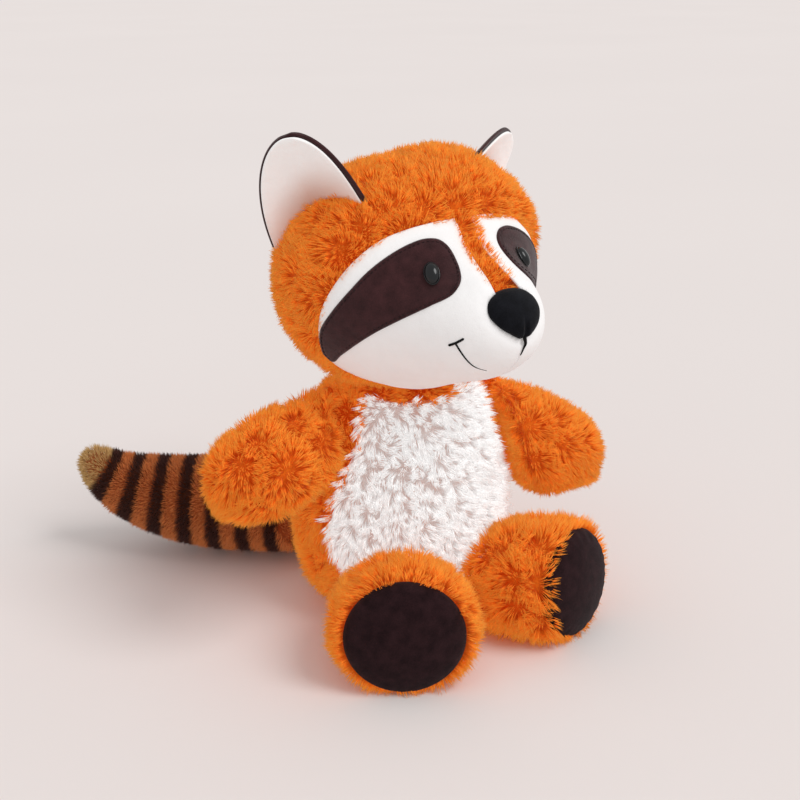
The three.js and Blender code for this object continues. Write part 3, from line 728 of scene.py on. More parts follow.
for body, padding in paddings.items():  # the ground cloth is white where the pile above it is
    points = points_of(padding.data)
    white = np.zeros(len(points), bool)
    if body == "torso":
        white = (nearest_panels(points, TORSO_PANELS[:3]) == BELLY) | beside_chin(points)
    if body != "tail":
        set_attribute(padding.data, "white", white)

# %% [markdown]
# ## Shape of the head
# The face panels, the eyes and the ears all sit on the head's skin, so its formula comes first: two
# ellipsoids, a skull and a snout, blended where they meet. A place on it is given as degrees round
# from the front and degrees up, as on a globe.

# %% The head's surface
TORSO_HEIGHT = 158 * MM
HEAD_RISE = 55 * MM
HEAD_FORWARD = 4 * MM
HEAD_TURN = math.radians(4.5)
SKULL_HALF = np.array([82, 73, 71]) * MM
SNOUT_HALF = np.array([45, 70, 40]) * MM
SNOUT_CENTRE = np.array([0, -40, -12]) * MM
SNOUT_BLEND = 18 * MM

head_frame = Matrix.Translation((0, -HEAD_FORWARD, TORSO_HEIGHT + HEAD_RISE))
head_frame = head_frame @ Matrix.Rotation(HEAD_TURN, 4, "Z")


def carried(points, matrix):
    """Points moved by a 4 x 4 matrix."""
    m = np.array(matrix)
    return np.asarray(points) @ m[:3, :3].T + m[:3, 3]


def frame_of(level, rise, out, at):
    """The matrix of a frame with these three axes and this origin."""
    return Matrix([*np.stack([level, rise, out, at], axis=-1).tolist(), [0, 0, 0, 1]])


def towards(angles):
    """Directions from degrees round from the front and degrees up."""
    turn, up = np.radians(np.asarray(angles, float)).T
    return np.stack([np.sin(turn) * np.cos(up), -np.cos(turn) * np.cos(up), np.sin(up)], axis=-1)


def reach_of(directions, centre, half):
    """How far an ellipsoid's skin lies from the head's middle in each direction."""
    d = directions / half
    c = centre / half
    b = d @ c
    a = (d * d).sum(-1)
    return (b + np.sqrt(np.maximum(b * b - a * (c @ c - 1), 0))) / a


def head_radius(directions):
    skull = reach_of(directions, np.zeros(3), SKULL_HALF)
    snout = reach_of(directions, SNOUT_CENTRE, SNOUT_HALF)
    blend = np.maximum(SNOUT_BLEND - np.abs(skull - snout), 0) / SNOUT_BLEND
    return np.maximum(skull, snout) + blend * blend * SNOUT_BLEND / 4


def on_head(angles, lift=0.0):
    """Places on the head's skin in the head's own frame, lifted off it where asked."""
    directions = towards(angles)
    return directions * (head_radius(directions) + lift)[:, None]


def head_surface_frame(turn, up):
    """Level, rise and outward normal at a place on the head."""
    step = 2
    level = on_head([(turn + step, up)])[0] - on_head([(turn - step, up)])[0]
    rise = on_head([(turn, up + step)])[0] - on_head([(turn, up - step)])[0]
    level = level / np.linalg.norm(level)
    normal = np.cross(level, rise)
    normal /= np.linalg.norm(normal)
    return frame_of(level, np.cross(normal, level), normal, on_head([(turn, up)])[0])


print("nose tip at", np.round(carried(on_head([(0, 0)]), head_frame)[0] / MM, 1), "mm")

# %% [markdown]
# ## Fur
# Hair curves would be the usual tool, but they can't leave Blender as a mesh. So each strand is a
# lock of four triangles, shaped like a thin kite, and a Geometry Nodes tree plants thousands of
# them: points are scattered evenly over a panel, tufts are scattered more widely, and every strand
# leans from its own direction towards the peak of its tuft. Its own direction fans out from the
# middle of a rosette, as curled pile does. Both together are what makes pile look like pile.

# %% One strand
STRAND_FACES = [(0, 1, 2), (3, 2, 1), (0, 3, 1), (0, 2, 3)]  # of a root, two shoulders and a tip
STRAND_LOOPS = 12  # face corners of a strand
SHOULDER = 0.6  # how far along a strand it is widest


def strand(name, length, width):
    """A lock of pile as the thinnest closed form there is: root, two shoulders and tip."""
    behind, before = -0.15 * width, 0.3 * width
    shoulders = [(aside * width, before, SHOULDER * length) for aside in (-0.5, 0.5)]
    points = [(0, behind, 0), *shoulders, (0, behind, length)]
    mesh = new_mesh(name, points, STRAND_FACES)
    set_attribute(mesh, "along", [0, SHOULDER, SHOULDER, 1])
    return bpy.data.objects.new(name, mesh)


# %% The tree that plants the fur
PILE_NUMBERS = "Gap", "Tuft gap", "Length", "Lay", "Rosette gap", "Fan", "Twist", "Stir", "Stray", "Gather"
PILE_SIZES = {
    "Strand": "NodeSocketObject",
    **{name: "NodeSocketFloat" for name in PILE_NUMBERS},
    "Seed": "NodeSocketInt",
    "Pile": "NodeSocketMaterial",
}
FULL_DENSITY = 1e7  # more points to a square metre than any gap lets through
ROSETTE_EYE = 3 * MM  # within this of a rosette's middle the pile stands up
SHORTEST, LONGEST = 0.78, 1.12  # share of its length that a strand comes out at


def new_tree(name, sizes):
    tree = bpy.data.node_groups.new(name, "GeometryNodeTree")
    tree.interface.new_socket("Geometry", in_out="INPUT", socket_type="NodeSocketGeometry")
    for size, kind in sizes.items():
        tree.interface.new_socket(size, in_out="INPUT", socket_type=kind)
    tree.interface.new_socket("Geometry", in_out="OUTPUT", socket_type="NodeSocketGeometry")
    sheet = Sheet(tree)
    start = sheet.add("NodeGroupInput")
    return sheet, {name: start.other(name) for name in ["Geometry", *sizes]}


def named(sheet, name, kind="FLOAT"):
    return sheet.add("GeometryNodeInputNamedAttribute", {"data_type": kind}, {"Name": name})


def random_of(sheet, low, high, seed, kind="FLOAT"):
    limits = {"Min": low, "Max": high, "Seed": seed}
    return sheet.add("FunctionNodeRandomValue", {"data_type": kind}, limits)


def scattered(sheet, given, gap, seed):
    return sheet.add("GeometryNodeDistributePointsOnFaces", {"distribute_method": "POISSON"}, {
        "Mesh": given["Geometry"],
        "Distance Min": gap,
        "Density Max": FULL_DENSITY,
        "Density Factor": named(sheet, "cover"),
        "Seed": seed,
    })


def stored(sheet, geometry, name, value, kind="FLOAT"):
    return sheet.add("GeometryNodeStoreNamedAttribute", {"data_type": kind, "domain": "POINT"}, {
        "Geometry": geometry,
        "Name": name,
        "Value": value,
    })


def sampled(sheet, geometry, value, index, kind):
    return sheet.add("GeometryNodeSampleIndex", {"data_type": kind, "domain": "POINT"}, {
        "Geometry": geometry,
        "Value": value,
        "Index": index,
    })


def nearest_of(sheet, spots, place):
    return sheet.add("GeometryNodeSampleNearest", {"domain": "POINT"}, {
        "Geometry": spots,
        "Sample Position": place,
    })


def length_of(sheet, vector):
    return sheet.add("ShaderNodeVectorMath", {"operation": "LENGTH"}, {0: vector}).other("Value")


def pointed(sheet, direction):
    return sheet.add("FunctionNodeAlignRotationToVector", {"axis": "Z"}, {"Vector": direction})


def planted(sheet, placed, template, material):
    """The end of a tree: a real copy of the template on every point, in its material."""
    template = sheet.add("GeometryNodeObjectInfo", None, {"Object": template}).other("Geometry")
    copies = sheet.add("GeometryNodeInstanceOnPoints", None, {**placed, "Instance": template})
    copies = sheet.add("GeometryNodeRealizeInstances", None, {"Geometry": copies})
    copies = sheet.add("GeometryNodeSetMaterial", None, {"Geometry": copies, "Material": material})
    sheet.add("NodeGroupOutput", None, {"Geometry": copies})
    return sheet.tree


def rosette_middles(sheet, given, seed):
    """Strewn without any least distance, so that no two rosettes are alike in size."""
    density = named(sheet, "cover") / (given["Rosette gap"] * given["Rosette gap"])
    return sheet.add("GeometryNodeDistributePointsOnFaces", {"distribute_method": "RANDOM"}, {
        "Mesh": given["Geometry"],
        "Density": density,
        "Seed": seed,
    })


def own_direction(sheet, given, middles, normal):
    """Where a strand points by itself: up, combed, fanned out round its rosette's middle, stirred."""
    place = sheet.add("GeometryNodeInputPosition")
    middle = sampled(sheet, middles, place, nearest_of(sheet, middles, place), "FLOAT_VECTOR")
    away = place - middle
    fan = away / (length_of(sheet, away) + ROSETTE_EYE)
    spin = sheet.add("ShaderNodeVectorMath", {"operation": "CROSS_PRODUCT"}, {0: normal, 1: fan})
    scale = sheet.add("ShaderNodeMath", {"operation": "DIVIDE"}, {0: 2.0, 1: given["Rosette gap"]})
    noise_here = sheet.add("ShaderNodeTexNoise", None, {"Vector": place, "Scale": scale, "Detail": 1.0})
    stir = noise_here.other("Color") - (0.5, 0.5, 0.5)
    comb = named(sheet, "comb", "FLOAT_VECTOR")
    upright = normal * (1 - given["Lay"])
    free = fan * given["Fan"] + spin * given["Twist"] + stir * given["Stir"]
    direction = upright + comb * given["Lay"] + free * named(sheet, "freedom")
    return sheet.add("ShaderNodeVectorMath", {"operation": "NORMALIZE"}, {0: direction}) * given["Length"]


def pile_tree():
    sheet, given = new_tree("pile", PILE_SIZES)
    place = sheet.add("GeometryNodeInputPosition")
    seed = given["Seed"]

    middles = rosette_middles(sheet, given, seed + 7)
    tufts = scattered(sheet, given, given["Tuft gap"], seed + 1)
    peak = place + own_direction(sheet, given, middles, tufts.other("Normal"))
    tufts = stored(sheet, tufts, "peak", peak, "FLOAT_VECTOR")
    tufts = stored(sheet, tufts, "tone", random_of(sheet, 0.0, 1.0, seed + 2))

    roots = scattered(sheet, given, given["Gap"], seed)
    normal = roots.other("Normal")
    nearest = nearest_of(sheet, tufts, place)
    peak = sampled(sheet, tufts, named(sheet, "peak", "FLOAT_VECTOR"), nearest, "FLOAT_VECTOR")
    tone = sampled(sheet, tufts, named(sheet, "tone"), nearest, "FLOAT")
    own = own_direction(sheet, given, middles, normal)
    stray = random_of(sheet, (-1, -1, -1), (1, 1, 1), seed + 4, "FLOAT_VECTOR")
    direction = own + ((peak - place) - own) * given["Gather"] + stray * (given["Stray"] * given["Length"])
    size = length_of(sheet, direction) / given["Length"] * random_of(sheet, SHORTEST, LONGEST, seed + 3)

    turned = pointed(sheet, direction)
    about = sheet.add("FunctionNodeAxisAngleToRotation", None, {
        "Axis": (0, 0, 1),
        "Angle": random_of(sheet, 0.0, 2 * math.pi, seed + 6),
    })
    turned = sheet.add("FunctionNodeRotateRotation", {"rotation_space": "LOCAL"}, {
        "Rotation": turned,
        "Rotate By": about,
    })

    roots = stored(sheet, roots, "shade", random_of(sheet, 0.0, 1.0, seed + 5))
    roots = stored(sheet, roots, "tuft", tone)
    size = sheet.add("ShaderNodeCombineXYZ", None, {"X": size, "Y": size, "Z": size})
    placed = {"Points": roots, "Rotation": turned, "Scale": size}
    return planted(sheet, placed, given["Strand"], given["Pile"])


def add_tree(thing, tree, values):
    """Adds a tree as a modifier and fills its inputs before anything is evaluated."""
    modifier = thing.modifiers.new(tree.name, "NODES")
    modifier.node_group = tree
    sockets = {s.name: s.identifier for s in tree.interface.items_tree if s.in_out == "INPUT"}
    for name, value in values.items():
        modifier[sockets[name]] = value


pile = pile_tree()
print("the pile tree has", len(pile.nodes), "nodes")

# %% [markdown]
# Baking each piece's colour into an image needs a UV map, and unwrapping a million tiny faces would
# take too long. Each strand therefore gets its own square of a grid as its UV map, worked out from its
# number, since every strand has the same face corners in the same order.

# %% A panel of fur
STRAND_SPOTS = [(0.5, 0.1), (0.15, 0.1 + 0.8 * SHOULDER), (0.85, 0.1 + 0.8 * SHOULDER), (0.5, 0.9)]
STRAND_UV = [STRAND_SPOTS[corner] for face in STRAND_FACES for corner in face]


def give_strands_a_map(mesh):
    count = len(mesh.loops) // STRAND_LOOPS
    across = math.ceil(math.sqrt(count))
    number = np.arange(count)
    corner = np.stack([number % across, number // across], axis=-1)[:, None, :]
    places = (corner + np.array(STRAND_UV)[None]) / across
    mesh.uv_layers.new(name="OFBake").uv.foreach_set("vector", places.ravel().astype(np.float32))


EDGE_REACH = 9 * MM
EDGE_COMB = 2.2
PILE_CLEARANCE = 0.1 * MM  # above the floor


def panel_of_skin(name, body, faces, comb, cover, beside, calm):
    """The chosen faces of a skin as their own mesh, with all that the pile tree reads.

    Two rules, `comb` and `cover`, take the skin's points and normals and say which way the pile
    lies and how full it is. Near the nodes in `beside` the pile is less free and more strictly
    combed, to the share `calm`, so that it leaves the next panel's edge clear.
    """
    mesh = paddings[body].data
    polygons = [tuple(mesh.polygons[i].vertices) for i in np.flatnonzero(faces)]
    used = sorted({corner for ring in polygons for corner in ring})
    place = {old: new for new, old in enumerate(used)}
    points = points_of(mesh)[used]
    normals = normals_of(mesh)[used]
    panel = new_mesh(name, points, [[place[i] for i in ring] for ring in polygons])
    lay = comb(points, normals)
    strength = np.linalg.norm(lay, axis=-1)
    lay = lay - (lay * normals).sum(-1, keepdims=True) * normals
    near = 1 - smooth_step(distance_to(points, beside) / EDGE_REACH) if beside else np.zeros(len(points))
    freedom = 1 - calm * near
    strength = strength * (1 + (EDGE_COMB - 1) * (1 - freedom))
    set_attribute(panel, "comb", strength[:, None] * unit(lay))
    set_attribute(panel, "freedom", freedom)
    set_attribute(panel, "cover", cover(points, normals))
    for extra in ("band", "end"):
        if extra in mesh.attributes:
            values = np.empty(len(mesh.vertices), np.float32)
            mesh.attributes[extra].data.foreach_get("value", values)
            set_attribute(panel, extra, values[used])
    return add_object(name, panel)


def grow(name, body, faces, comb, cover, kind, seed, replaced, beside=(), calm=1.0):
    """A piece of fur on part of a skin, settled on its body."""
    piece = panel_of_skin(name, body, faces, comb, cover, list(beside), calm)
    add_tree(piece, pile, {**kind, "Seed": seed})
    applied(piece)
    for extra in ("comb", "cover", "freedom", "peak"):
        if extra in piece.data.attributes:
            piece.data.attributes.remove(piece.data.attributes[extra])
    lifted(piece.data, PILE_CLEARANCE)
    give_strands_a_map(piece.data)
    settle(piece, body, replaced)
    print(name, "has", len(piece.data.loops) // STRAND_LOOPS, "strands")


# %% The kinds of pile
BODY_PILE = {
    "Length": 10.0 * MM, "Gap": 0.56 * MM, "Tuft gap": 2.6 * MM, "Rosette gap": 19 * MM, "Lay": 0.25,
    "Fan": 0.95, "Twist": 0.35, "Stir": 0.9, "Stray": 0.10, "Gather": 0.45, "Pile": orange_pile,
}
PILE_KINDS = {  # where a kind says nothing, it is like the body's
    "body": {},
    "leg": {"Length": 11.5 * MM, "Gap": 0.58 * MM},
    "head": {"Length": 8.5 * MM, "Tuft gap": 2.3 * MM, "Rosette gap": 14 * MM, "Fan": 0.8, "Stir": 1.0,
             "Stray": 0.12},
    "belly": {"Length": 11.0 * MM, "Gap": 0.62 * MM, "Tuft gap": 4.0 * MM, "Rosette gap": 13 * MM,
              "Lay": 0.3, "Fan": 0.5, "Twist": 0.5, "Stir": 1.6, "Stray": 0.12, "Gather": 0.6,
              "Pile": white_pile},
    "tail": {"Length": 6.0 * MM, "Gap": 0.62 * MM, "Tuft gap": 2.2 * MM, "Rosette gap": 14 * MM,
             "Fan": 0.05, "Twist": 0.0, "Stir": 0.4, "Stray": 0.14, "Gather": 0.2, "Pile": banded_pile},
}
PILE_KINDS = {kind: {**BODY_PILE, **own} for kind, own in PILE_KINDS.items()}
STRAND_WIDTH = {"body": 0.53, "leg": 0.53, "head": 0.50, "belly": 0.60, "tail": 0.55}  # in mm
for kind, sizes in PILE_KINDS.items():
    sizes["Strand"] = strand(f"{kind}_strand", sizes["Length"], STRAND_WIDTH[kind] * MM)

UNDERSIDE = 3.0 * MM  # below this, little fur: it is pressed between the toy and the floor
UNDERSIDE_LOSS = 0.8  # share of the pile that is left out there
LOOKING_DOWN = -0.4  # where the skin's normal points down more than this
ROOT_BARE = 0.4  # share of the way from a limb's root over which no pile is planted


def not_underneath(points, normals):
    under = smooth_step((UNDERSIDE - points[:, 2]) / UNDERSIDE) * (normals[:, 2] < LOOKING_DOWN)
    return 1 - UNDERSIDE_LOSS * under


def away_from_roots(root_of, clear=4 * MM):
    """Cover that fades where the limb's root lies against the body that carries it.

    It is full at the distance `clear` from the nodes that the root lies against.
    """
    def cover(points, normals):
        share = (distance_to(points, root_of) - ROOT_BARE * clear) / ((1 - ROOT_BARE) * clear)
        return not_underneath(points, normals) * smooth_step(share)
    return cover


# %% Fur of the torso and the belly
DOWN = np.array([0, 0, -1.0])
STANDING_OFF = 0.35  # how far the torso's pile stands off the skin as it hangs


def combed_down(points, normals):
    return DOWN + STANDING_OFF * normals


torso_places = vectors_in(paddings["torso"].data.polygons, "center")
torso_near = nearest_panels(torso_places, TORSO_PANELS)
torso_near[beside_chin(torso_places)] = BELLY
for number, (side, node) in enumerate(zip(SIDES, TORSO_COVERS)):
    grow(f"torso_fur_{side}", "torso", torso_near == number, combed_down, not_underneath,
         PILE_KINDS["body"], seed=10 + number, replaced=[node],
         beside=["belly_panel"], calm=0.4)
grow("belly_fur", "torso", torso_near == BELLY, combed_down, not_underneath,
     PILE_KINDS["belly"], seed=20, replaced=["belly_panel"],
     beside=TORSO_COVERS, calm=0.5)
settle(paddings["torso"], "torso", ["torso_fill", "seat_panel"], body_backing)

# %% Fur of the head
FULLER_AT = (68, 36)  # degrees round and up, on the side that the photograph shows fuller
FULLER_BY = 9 * MM
FULLER_FROM = 0.45  # cosine of the angle from there at which the fuller shape begins
FULLER_FADE = 0.5
FULLER_CLEAR = 11 * MM  # the fuller shape sets in over this way from the cheeks, and never lifts over them

head_mesh = paddings["head"].data
head_points = points_of(head_mesh)
in_head = carried(head_points, head_frame.inverted())
fuller = smooth_step((unit(in_head) @ towards([FULLER_AT])[0] - FULLER_FROM) / FULLER_FADE)
fuller *= smooth_step(distance_to(head_points, CHEEKS) / FULLER_CLEAR)
put_points(head_mesh, head_points + FULLER_BY * fuller[:, None] * normals_of(head_mesh))

MUZZLE = np.array(head_frame @ Vector((0, -95 * MM, -6 * MM)))
CROWN_BACK = 30 * MM
STANDING = 14 * MM  # within this of the cheeks the pile stands up straight
STRIP_CLEAR = 0.9 * MM  # within this of the cheeks, less pile on the forehead's strip


def combed_from_face(points, normals):
    """Away from the muzzle over the face's edge and the crown, and down at the back of the head."""
    outwards = unit(points - MUZZLE) * smooth_step(distance_to(points, CHEEKS) / STANDING)[:, None]
    behind = smooth_step(points[:, 1] / CROWN_BACK)[:, None]
    return outwards * (1 - behind) + DOWN * behind


def clear_of_cheeks(points, normals):
    return smooth_step(distance_to(points, CHEEKS) / STRIP_CLEAR)


head_near = nearest_panels(vectors_in(head_mesh.polygons, "center"), HEAD_PANELS)
for number, side in enumerate(SIDES):
    grow(f"head_fur_{side}", "head", head_near == number, combed_from_face,
         away_from_roots(["torso_fill"], clear=14 * MM), PILE_KINDS["head"], seed=30 + number,
         replaced=[f"head_cover_{side}"], beside=CHEEKS, calm=0.6)
grow("forehead_fur", "head", head_near == GUSSET, combed_from_face, clear_of_cheeks,
     PILE_KINDS["head"], seed=33, replaced=["forehead_gusset"], beside=CHEEKS)
settle(paddings["head"], "head", ["head_fill"], body_backing)

# %% [markdown]
# The limbs' fur runs from root to paw. Where an arm or a leg lies against the torso, the real pile
# is crushed flat in the crease, so none is planted there.

# %% Fur of the arms and legs
ARM_DROOP = {"left": 30, "right": 14}
ARM_FORWARD = {"left": 22, "right": 15}
SHOULDER_HEIGHT = 131 * MM
SHOULDER_OUT = 26 * MM
HIP = np.array([20, -30, 22]) * MM
LEG_SPLAY = 28
LEG_RISE = 8
ARM_UNDERSIDE = {"left": 1.0, "right": 0.66}  # share of an arm's depth that hangs below its middle line
ARM_REACH = {"left": 1.045, "right": 1.0}
SOLE_DISTANCE = 88 * MM  # from the hip
FOOT_TURN = {"left": -6, "right": 0}  # degrees that each foot looks aside from its leg
ANKLE_FROM = 50 * MM
ANKLE_LENGTH = 28 * MM
TURN_BACK = 16 * MM  # this near a sole the pile starts to lean back from it
LEAN_BACK = 0.5  # how strongly it leans back at the sole's rim
SOLE_FACING = 0.62  # faces of the skin that look less than this along the leg still carry fur


def arm_direction(side):
    return towards([(SIDES[side] * (90 - ARM_FORWARD[side]), -ARM_DROOP[side])])[0]


def leg_direction(side):
    return towards([(SIDES[side] * LEG_SPLAY, LEG_RISE)])[0]


def combed_along(direction):
    return lambda points, normals: np.broadcast_to(direction, points.shape)


def combed_to_sole(side):
    """Along the leg, but leaning back at half strength beside the sole's rim, which stays clear."""
    direction = leg_direction(side)
    hip = HIP * MIRROR[side]

    def comb(points, normals):
        left = SOLE_DISTANCE - (points - hip) @ direction
        share = smooth_step(left / TURN_BACK)
        return direction * ((1 + LEAN_BACK) * share - LEAN_BACK)[:, None]
    return comb


def shape_arm(side):
    """Stretches an arm's skin from its shoulder and presses it up from below, about its middle line."""
    mesh = paddings[f"arm_{side}"].data
    points = points_of(mesh)
    along = arm_direction(side)
    up = unit(np.array([0, 0, 1.0]) - along[2] * along)
    from_shoulder = points - np.array([SIDES[side] * SHOULDER_OUT, 0, SHOULDER_HEIGHT])
    below = np.minimum(from_shoulder @ up, 0)
    points -= (1 - ARM_UNDERSIDE[side]) * below[:, None] * up
    points += (ARM_REACH[side] - 1) * (from_shoulder @ along)[:, None] * along
    put_points(mesh, points)


def turn_foot(points, side):
    """Points near a sole, turned about the upright through its middle to where the foot looks."""
    direction = leg_direction(side)
    hip = HIP * MIRROR[side]
    middle = hip + SOLE_DISTANCE * direction
    share = smooth_step(((points - hip) @ direction - ANKLE_FROM) / ANKLE_LENGTH)
    angle = math.radians(FOOT_TURN[side]) * share
    x, y, _ = (points - middle).T
    turned = points.copy()
    turned[:, 0] = middle[0] + x * np.cos(angle) - y * np.sin(angle)
    turned[:, 1] = middle[1] + x * np.sin(angle) + y * np.cos(angle)
    return turned


for number, side in enumerate(SIDES):
    arm = f"arm_{side}"
    shape_arm(side)
    panels = [f"{arm}_front_panel", f"{arm}_back_panel"]
    near = nearest_panels(vectors_in(paddings[arm].data.polygons, "center"), panels)
    cover = away_from_roots(["torso_fill", "head_fill"])
    for half, panel in enumerate(panels):
        grow(f"{arm}_fur_{('front', 'back')[half]}", arm, near == half, combed_along(arm_direction(side)),
             cover, PILE_KINDS["body"], seed=40 + 2 * number + half, replaced=[panel])
    settle(paddings[arm], arm, [f"{arm}_fill"], body_backing)

    leg = f"leg_{side}"
    skin = paddings[leg].data
    put_points(skin, turn_foot(points_of(skin), side))
    near = nearest_panels(vectors_in(skin.polygons, "center"), [f"{leg}_cover", f"{leg}_sole"])
    furry = (near == 0) | (vectors_in(skin.polygons, "normal") @ leg_direction(side) < SOLE_FACING)
    grow(f"{leg}_fur", leg, furry, combed_to_sole(side), away_from_roots(["torso_fill"]),
         PILE_KINDS["leg"], seed=50 + number, replaced=[f"{leg}_cover"],
         beside=[f"{leg}_sole"])
    settle(paddings[leg], leg, [f"{leg}_fill"], body_backing)

# %% [markdown]
# ## Tail
# The tail's plush is woven with dark bands across it. The bands follow the tail's middle line, so
# each point of the skin is given the length along that line, and the bands are cut out of it. The
# same numbers are handed on to the strands, which take their colour from where they are rooted.

# %% The tail's middle line and bands
TAIL_ROOT = np.array([0, 38, 36]) * MM
TAIL_ASIDE = 162 * MM
TAIL_BACK = 116 * MM
TAIL_BEND = 0.75  # the power at which the line bends backwards
TAIL_TIP_RISE = 26 * MM
TAIL_TIP_BEND = 6  # the power at which only the tip rises
BAND_PERIOD = 20 * MM
BAND_WIDTH = 10 * MM
BAND_EDGE = 1.2 * MM
FIRST_BAND = 20 * MM  # from the tip of the middle line
BAND_COUNT = 9


def tail_line(steps):
    t = np.linspace(0, 1, steps)
    line = [-TAIL_ASIDE * t, TAIL_BACK * t ** TAIL_BEND, TAIL_TIP_RISE * t ** TAIL_TIP_BEND]
    return TAIL_ROOT + np.stack(line, axis=-1)


tail_points = tail_line(160)
tail_steps = np.linalg.norm(np.diff(tail_points, axis=0), axis=1)
tail_from_tip = np.concatenate([np.cumsum(tail_steps[::-1])[::-1], [0]])
tail_direction = unit(np.gradient(tail_points, axis=0))


def nearest_on_tail(points):
    apart = np.linalg.norm(points[:, None, :] - tail_points[None], axis=2)
    return apart.argmin(axis=1)


def from_tail_tip(points):
    """The length along the middle line from each point to the tip."""
    index = nearest_on_tail(points)
    along = ((points - tail_points[index]) * tail_direction[index]).sum(-1)
    return tail_from_tip[index] - along


def band_of(from_tip):
    """1 inside a dark band, 0 between the bands."""
    number = np.round((from_tip - FIRST_BAND) / BAND_PERIOD)
    off_middle = np.abs(from_tip - FIRST_BAND - number * BAND_PERIOD)
    inside = (number >= 0) & (number < BAND_COUNT)
    return inside * (1 - smooth_step((off_middle - BAND_WIDTH / 2) / BAND_EDGE + 0.5))


def combed_to_tip(points, normals):
    return tail_direction[nearest_on_tail(points)]


tail_mesh = paddings["tail"].data
tail_places = from_tail_tip(points_of(tail_mesh))
set_attribute(tail_mesh, "band", band_of(tail_places))
set_attribute(tail_mesh, "end", tail_places < FIRST_BAND)
tail_near = nearest_panels(vectors_in(tail_mesh.polygons, "center"), TAIL_PANELS)
for number, side in enumerate(SIDES):
    grow(f"tail_fur_{side}", "tail", tail_near == number, combed_to_tip,
         away_from_roots(["torso_fill"]), PILE_KINDS["tail"], seed=60 + number,
         replaced=[f"tail_cover_{side}"])
settle(paddings["tail"], "tail", ["tail_fill"], tail_backing)
print("middle line of the tail:", round(tail_from_tip[0] / MM), "mm")

# %% [markdown]
# ## Face
# The face is cut from smooth velour: two cheeks with a suede patch sewn on each, a fur strip between
# them and a velvet nose. Each outline is a closed curve on the head's globe. A constrained
# triangulation fills it with even triangles whose edges follow the curve exactly, which no square
# grid would. Each panel then gets a thickness and its own relief.


# %% Outlines on the globe
def smooth_loop(corners, spacing):
    """A closed curve through the corners (centripetal Catmull-Rom), in steps of about `spacing`."""
    corners = np.asarray(corners, float)
    count = len(corners)
    curve = []
    for i in range(count):
        p = [corners[(i + k) % count] for k in (-1, 0, 1, 2)]
        knots = [0.0]
        for a, b in zip(p, p[1:]):
            knots.append(knots[-1] + math.sqrt(np.linalg.norm(b - a)))
        steps = max(2, round(np.linalg.norm(p[2] - p[1]) / spacing))
        for t in np.linspace(knots[1], knots[2], steps, endpoint=False):
            level = list(p)
            for size in (1, 2, 3):
                spans = [(knots[k], knots[k + size]) for k in range(4 - size)]
                if size == 3:
                    spans = [(knots[1], knots[2])]
                shares = [(t - low) / (high - low) for low, high in spans]
                level = [a * (1 - share) + b * share for a, b, share in zip(level, level[1:], shares)]
            curve.append(level[0])
    return np.array(curve)


def both_sides(half):
    """An outline drawn for the left, closed by its mirror image."""
    return half + [(-turn, up) for turn, up in reversed(half)]


FACE = both_sides([(16, -62), (40, -55.5), (55, -47), (69, -37), (75, -29), (74.5, -18), (70, -3),
                   (63.5, 9), (56, 19), (46, 27.5), (33, 33), (18, 36.2), (5, 37.2)])
PATCH = [(73.5, -25), (73.2, -18), (71, -11.5), (64, -2), (57, 6.5), (50, 14.5), (41.3, 21.5), (33, 26),
         (25.5, 28.2), (18.5, 27.6), (14.4, 24), (13, 18.5), (13.8, 11.5), (18, 6.3), (25.7, 2), (37, -4.6),
         (51, -13.4), (64, -23.3), (70.5, -28.3)]
STRIP = both_sides([(4.4, 2), (4.8, 12), (4.7, 24), (5.6, 35), (13.5, 50), (26, 66), (20, 74)])
NOSE = both_sides([(1.2, -6.8), (4.0, -5.4), (7.3, -3.1), (9.4, -0.1), (8.7, 3.1), (5.8, 5.4), (2, 6.4)])
CURVE_SPACING = 0.7
NOSE_CURVE_SPACING = 0.5
face_loop, patch_loop, strip_loop = (smooth_loop(each, CURVE_SPACING) for each in (FACE, PATCH, STRIP))
nose_loop = smooth_loop(NOSE, NOSE_CURVE_SPACING)
print("points round the face:", len(face_loop), "and round a patch:", len(patch_loop))


# %% Panels cut along outlines
CLEAR_OF_RIM = 0.6  # share of the spacing that a free corner keeps from every rim
CLEAR_OF_SPLIT = 0.5


def inside(places, loop):
    """Which places lie inside a closed loop, by counting the edges that a level ray crosses."""
    x, y = np.asarray(places).T
    within = np.zeros(len(x), bool)
    for (ax, ay), (bx, by) in zip(loop, np.roll(loop, -1, axis=0)):
        if ay == by:
            continue
        crosses = (ay > y) != (by > y)
        within ^= crosses & (x < (bx - ax) * (y - ay) / (by - ay) + ax)
    return within


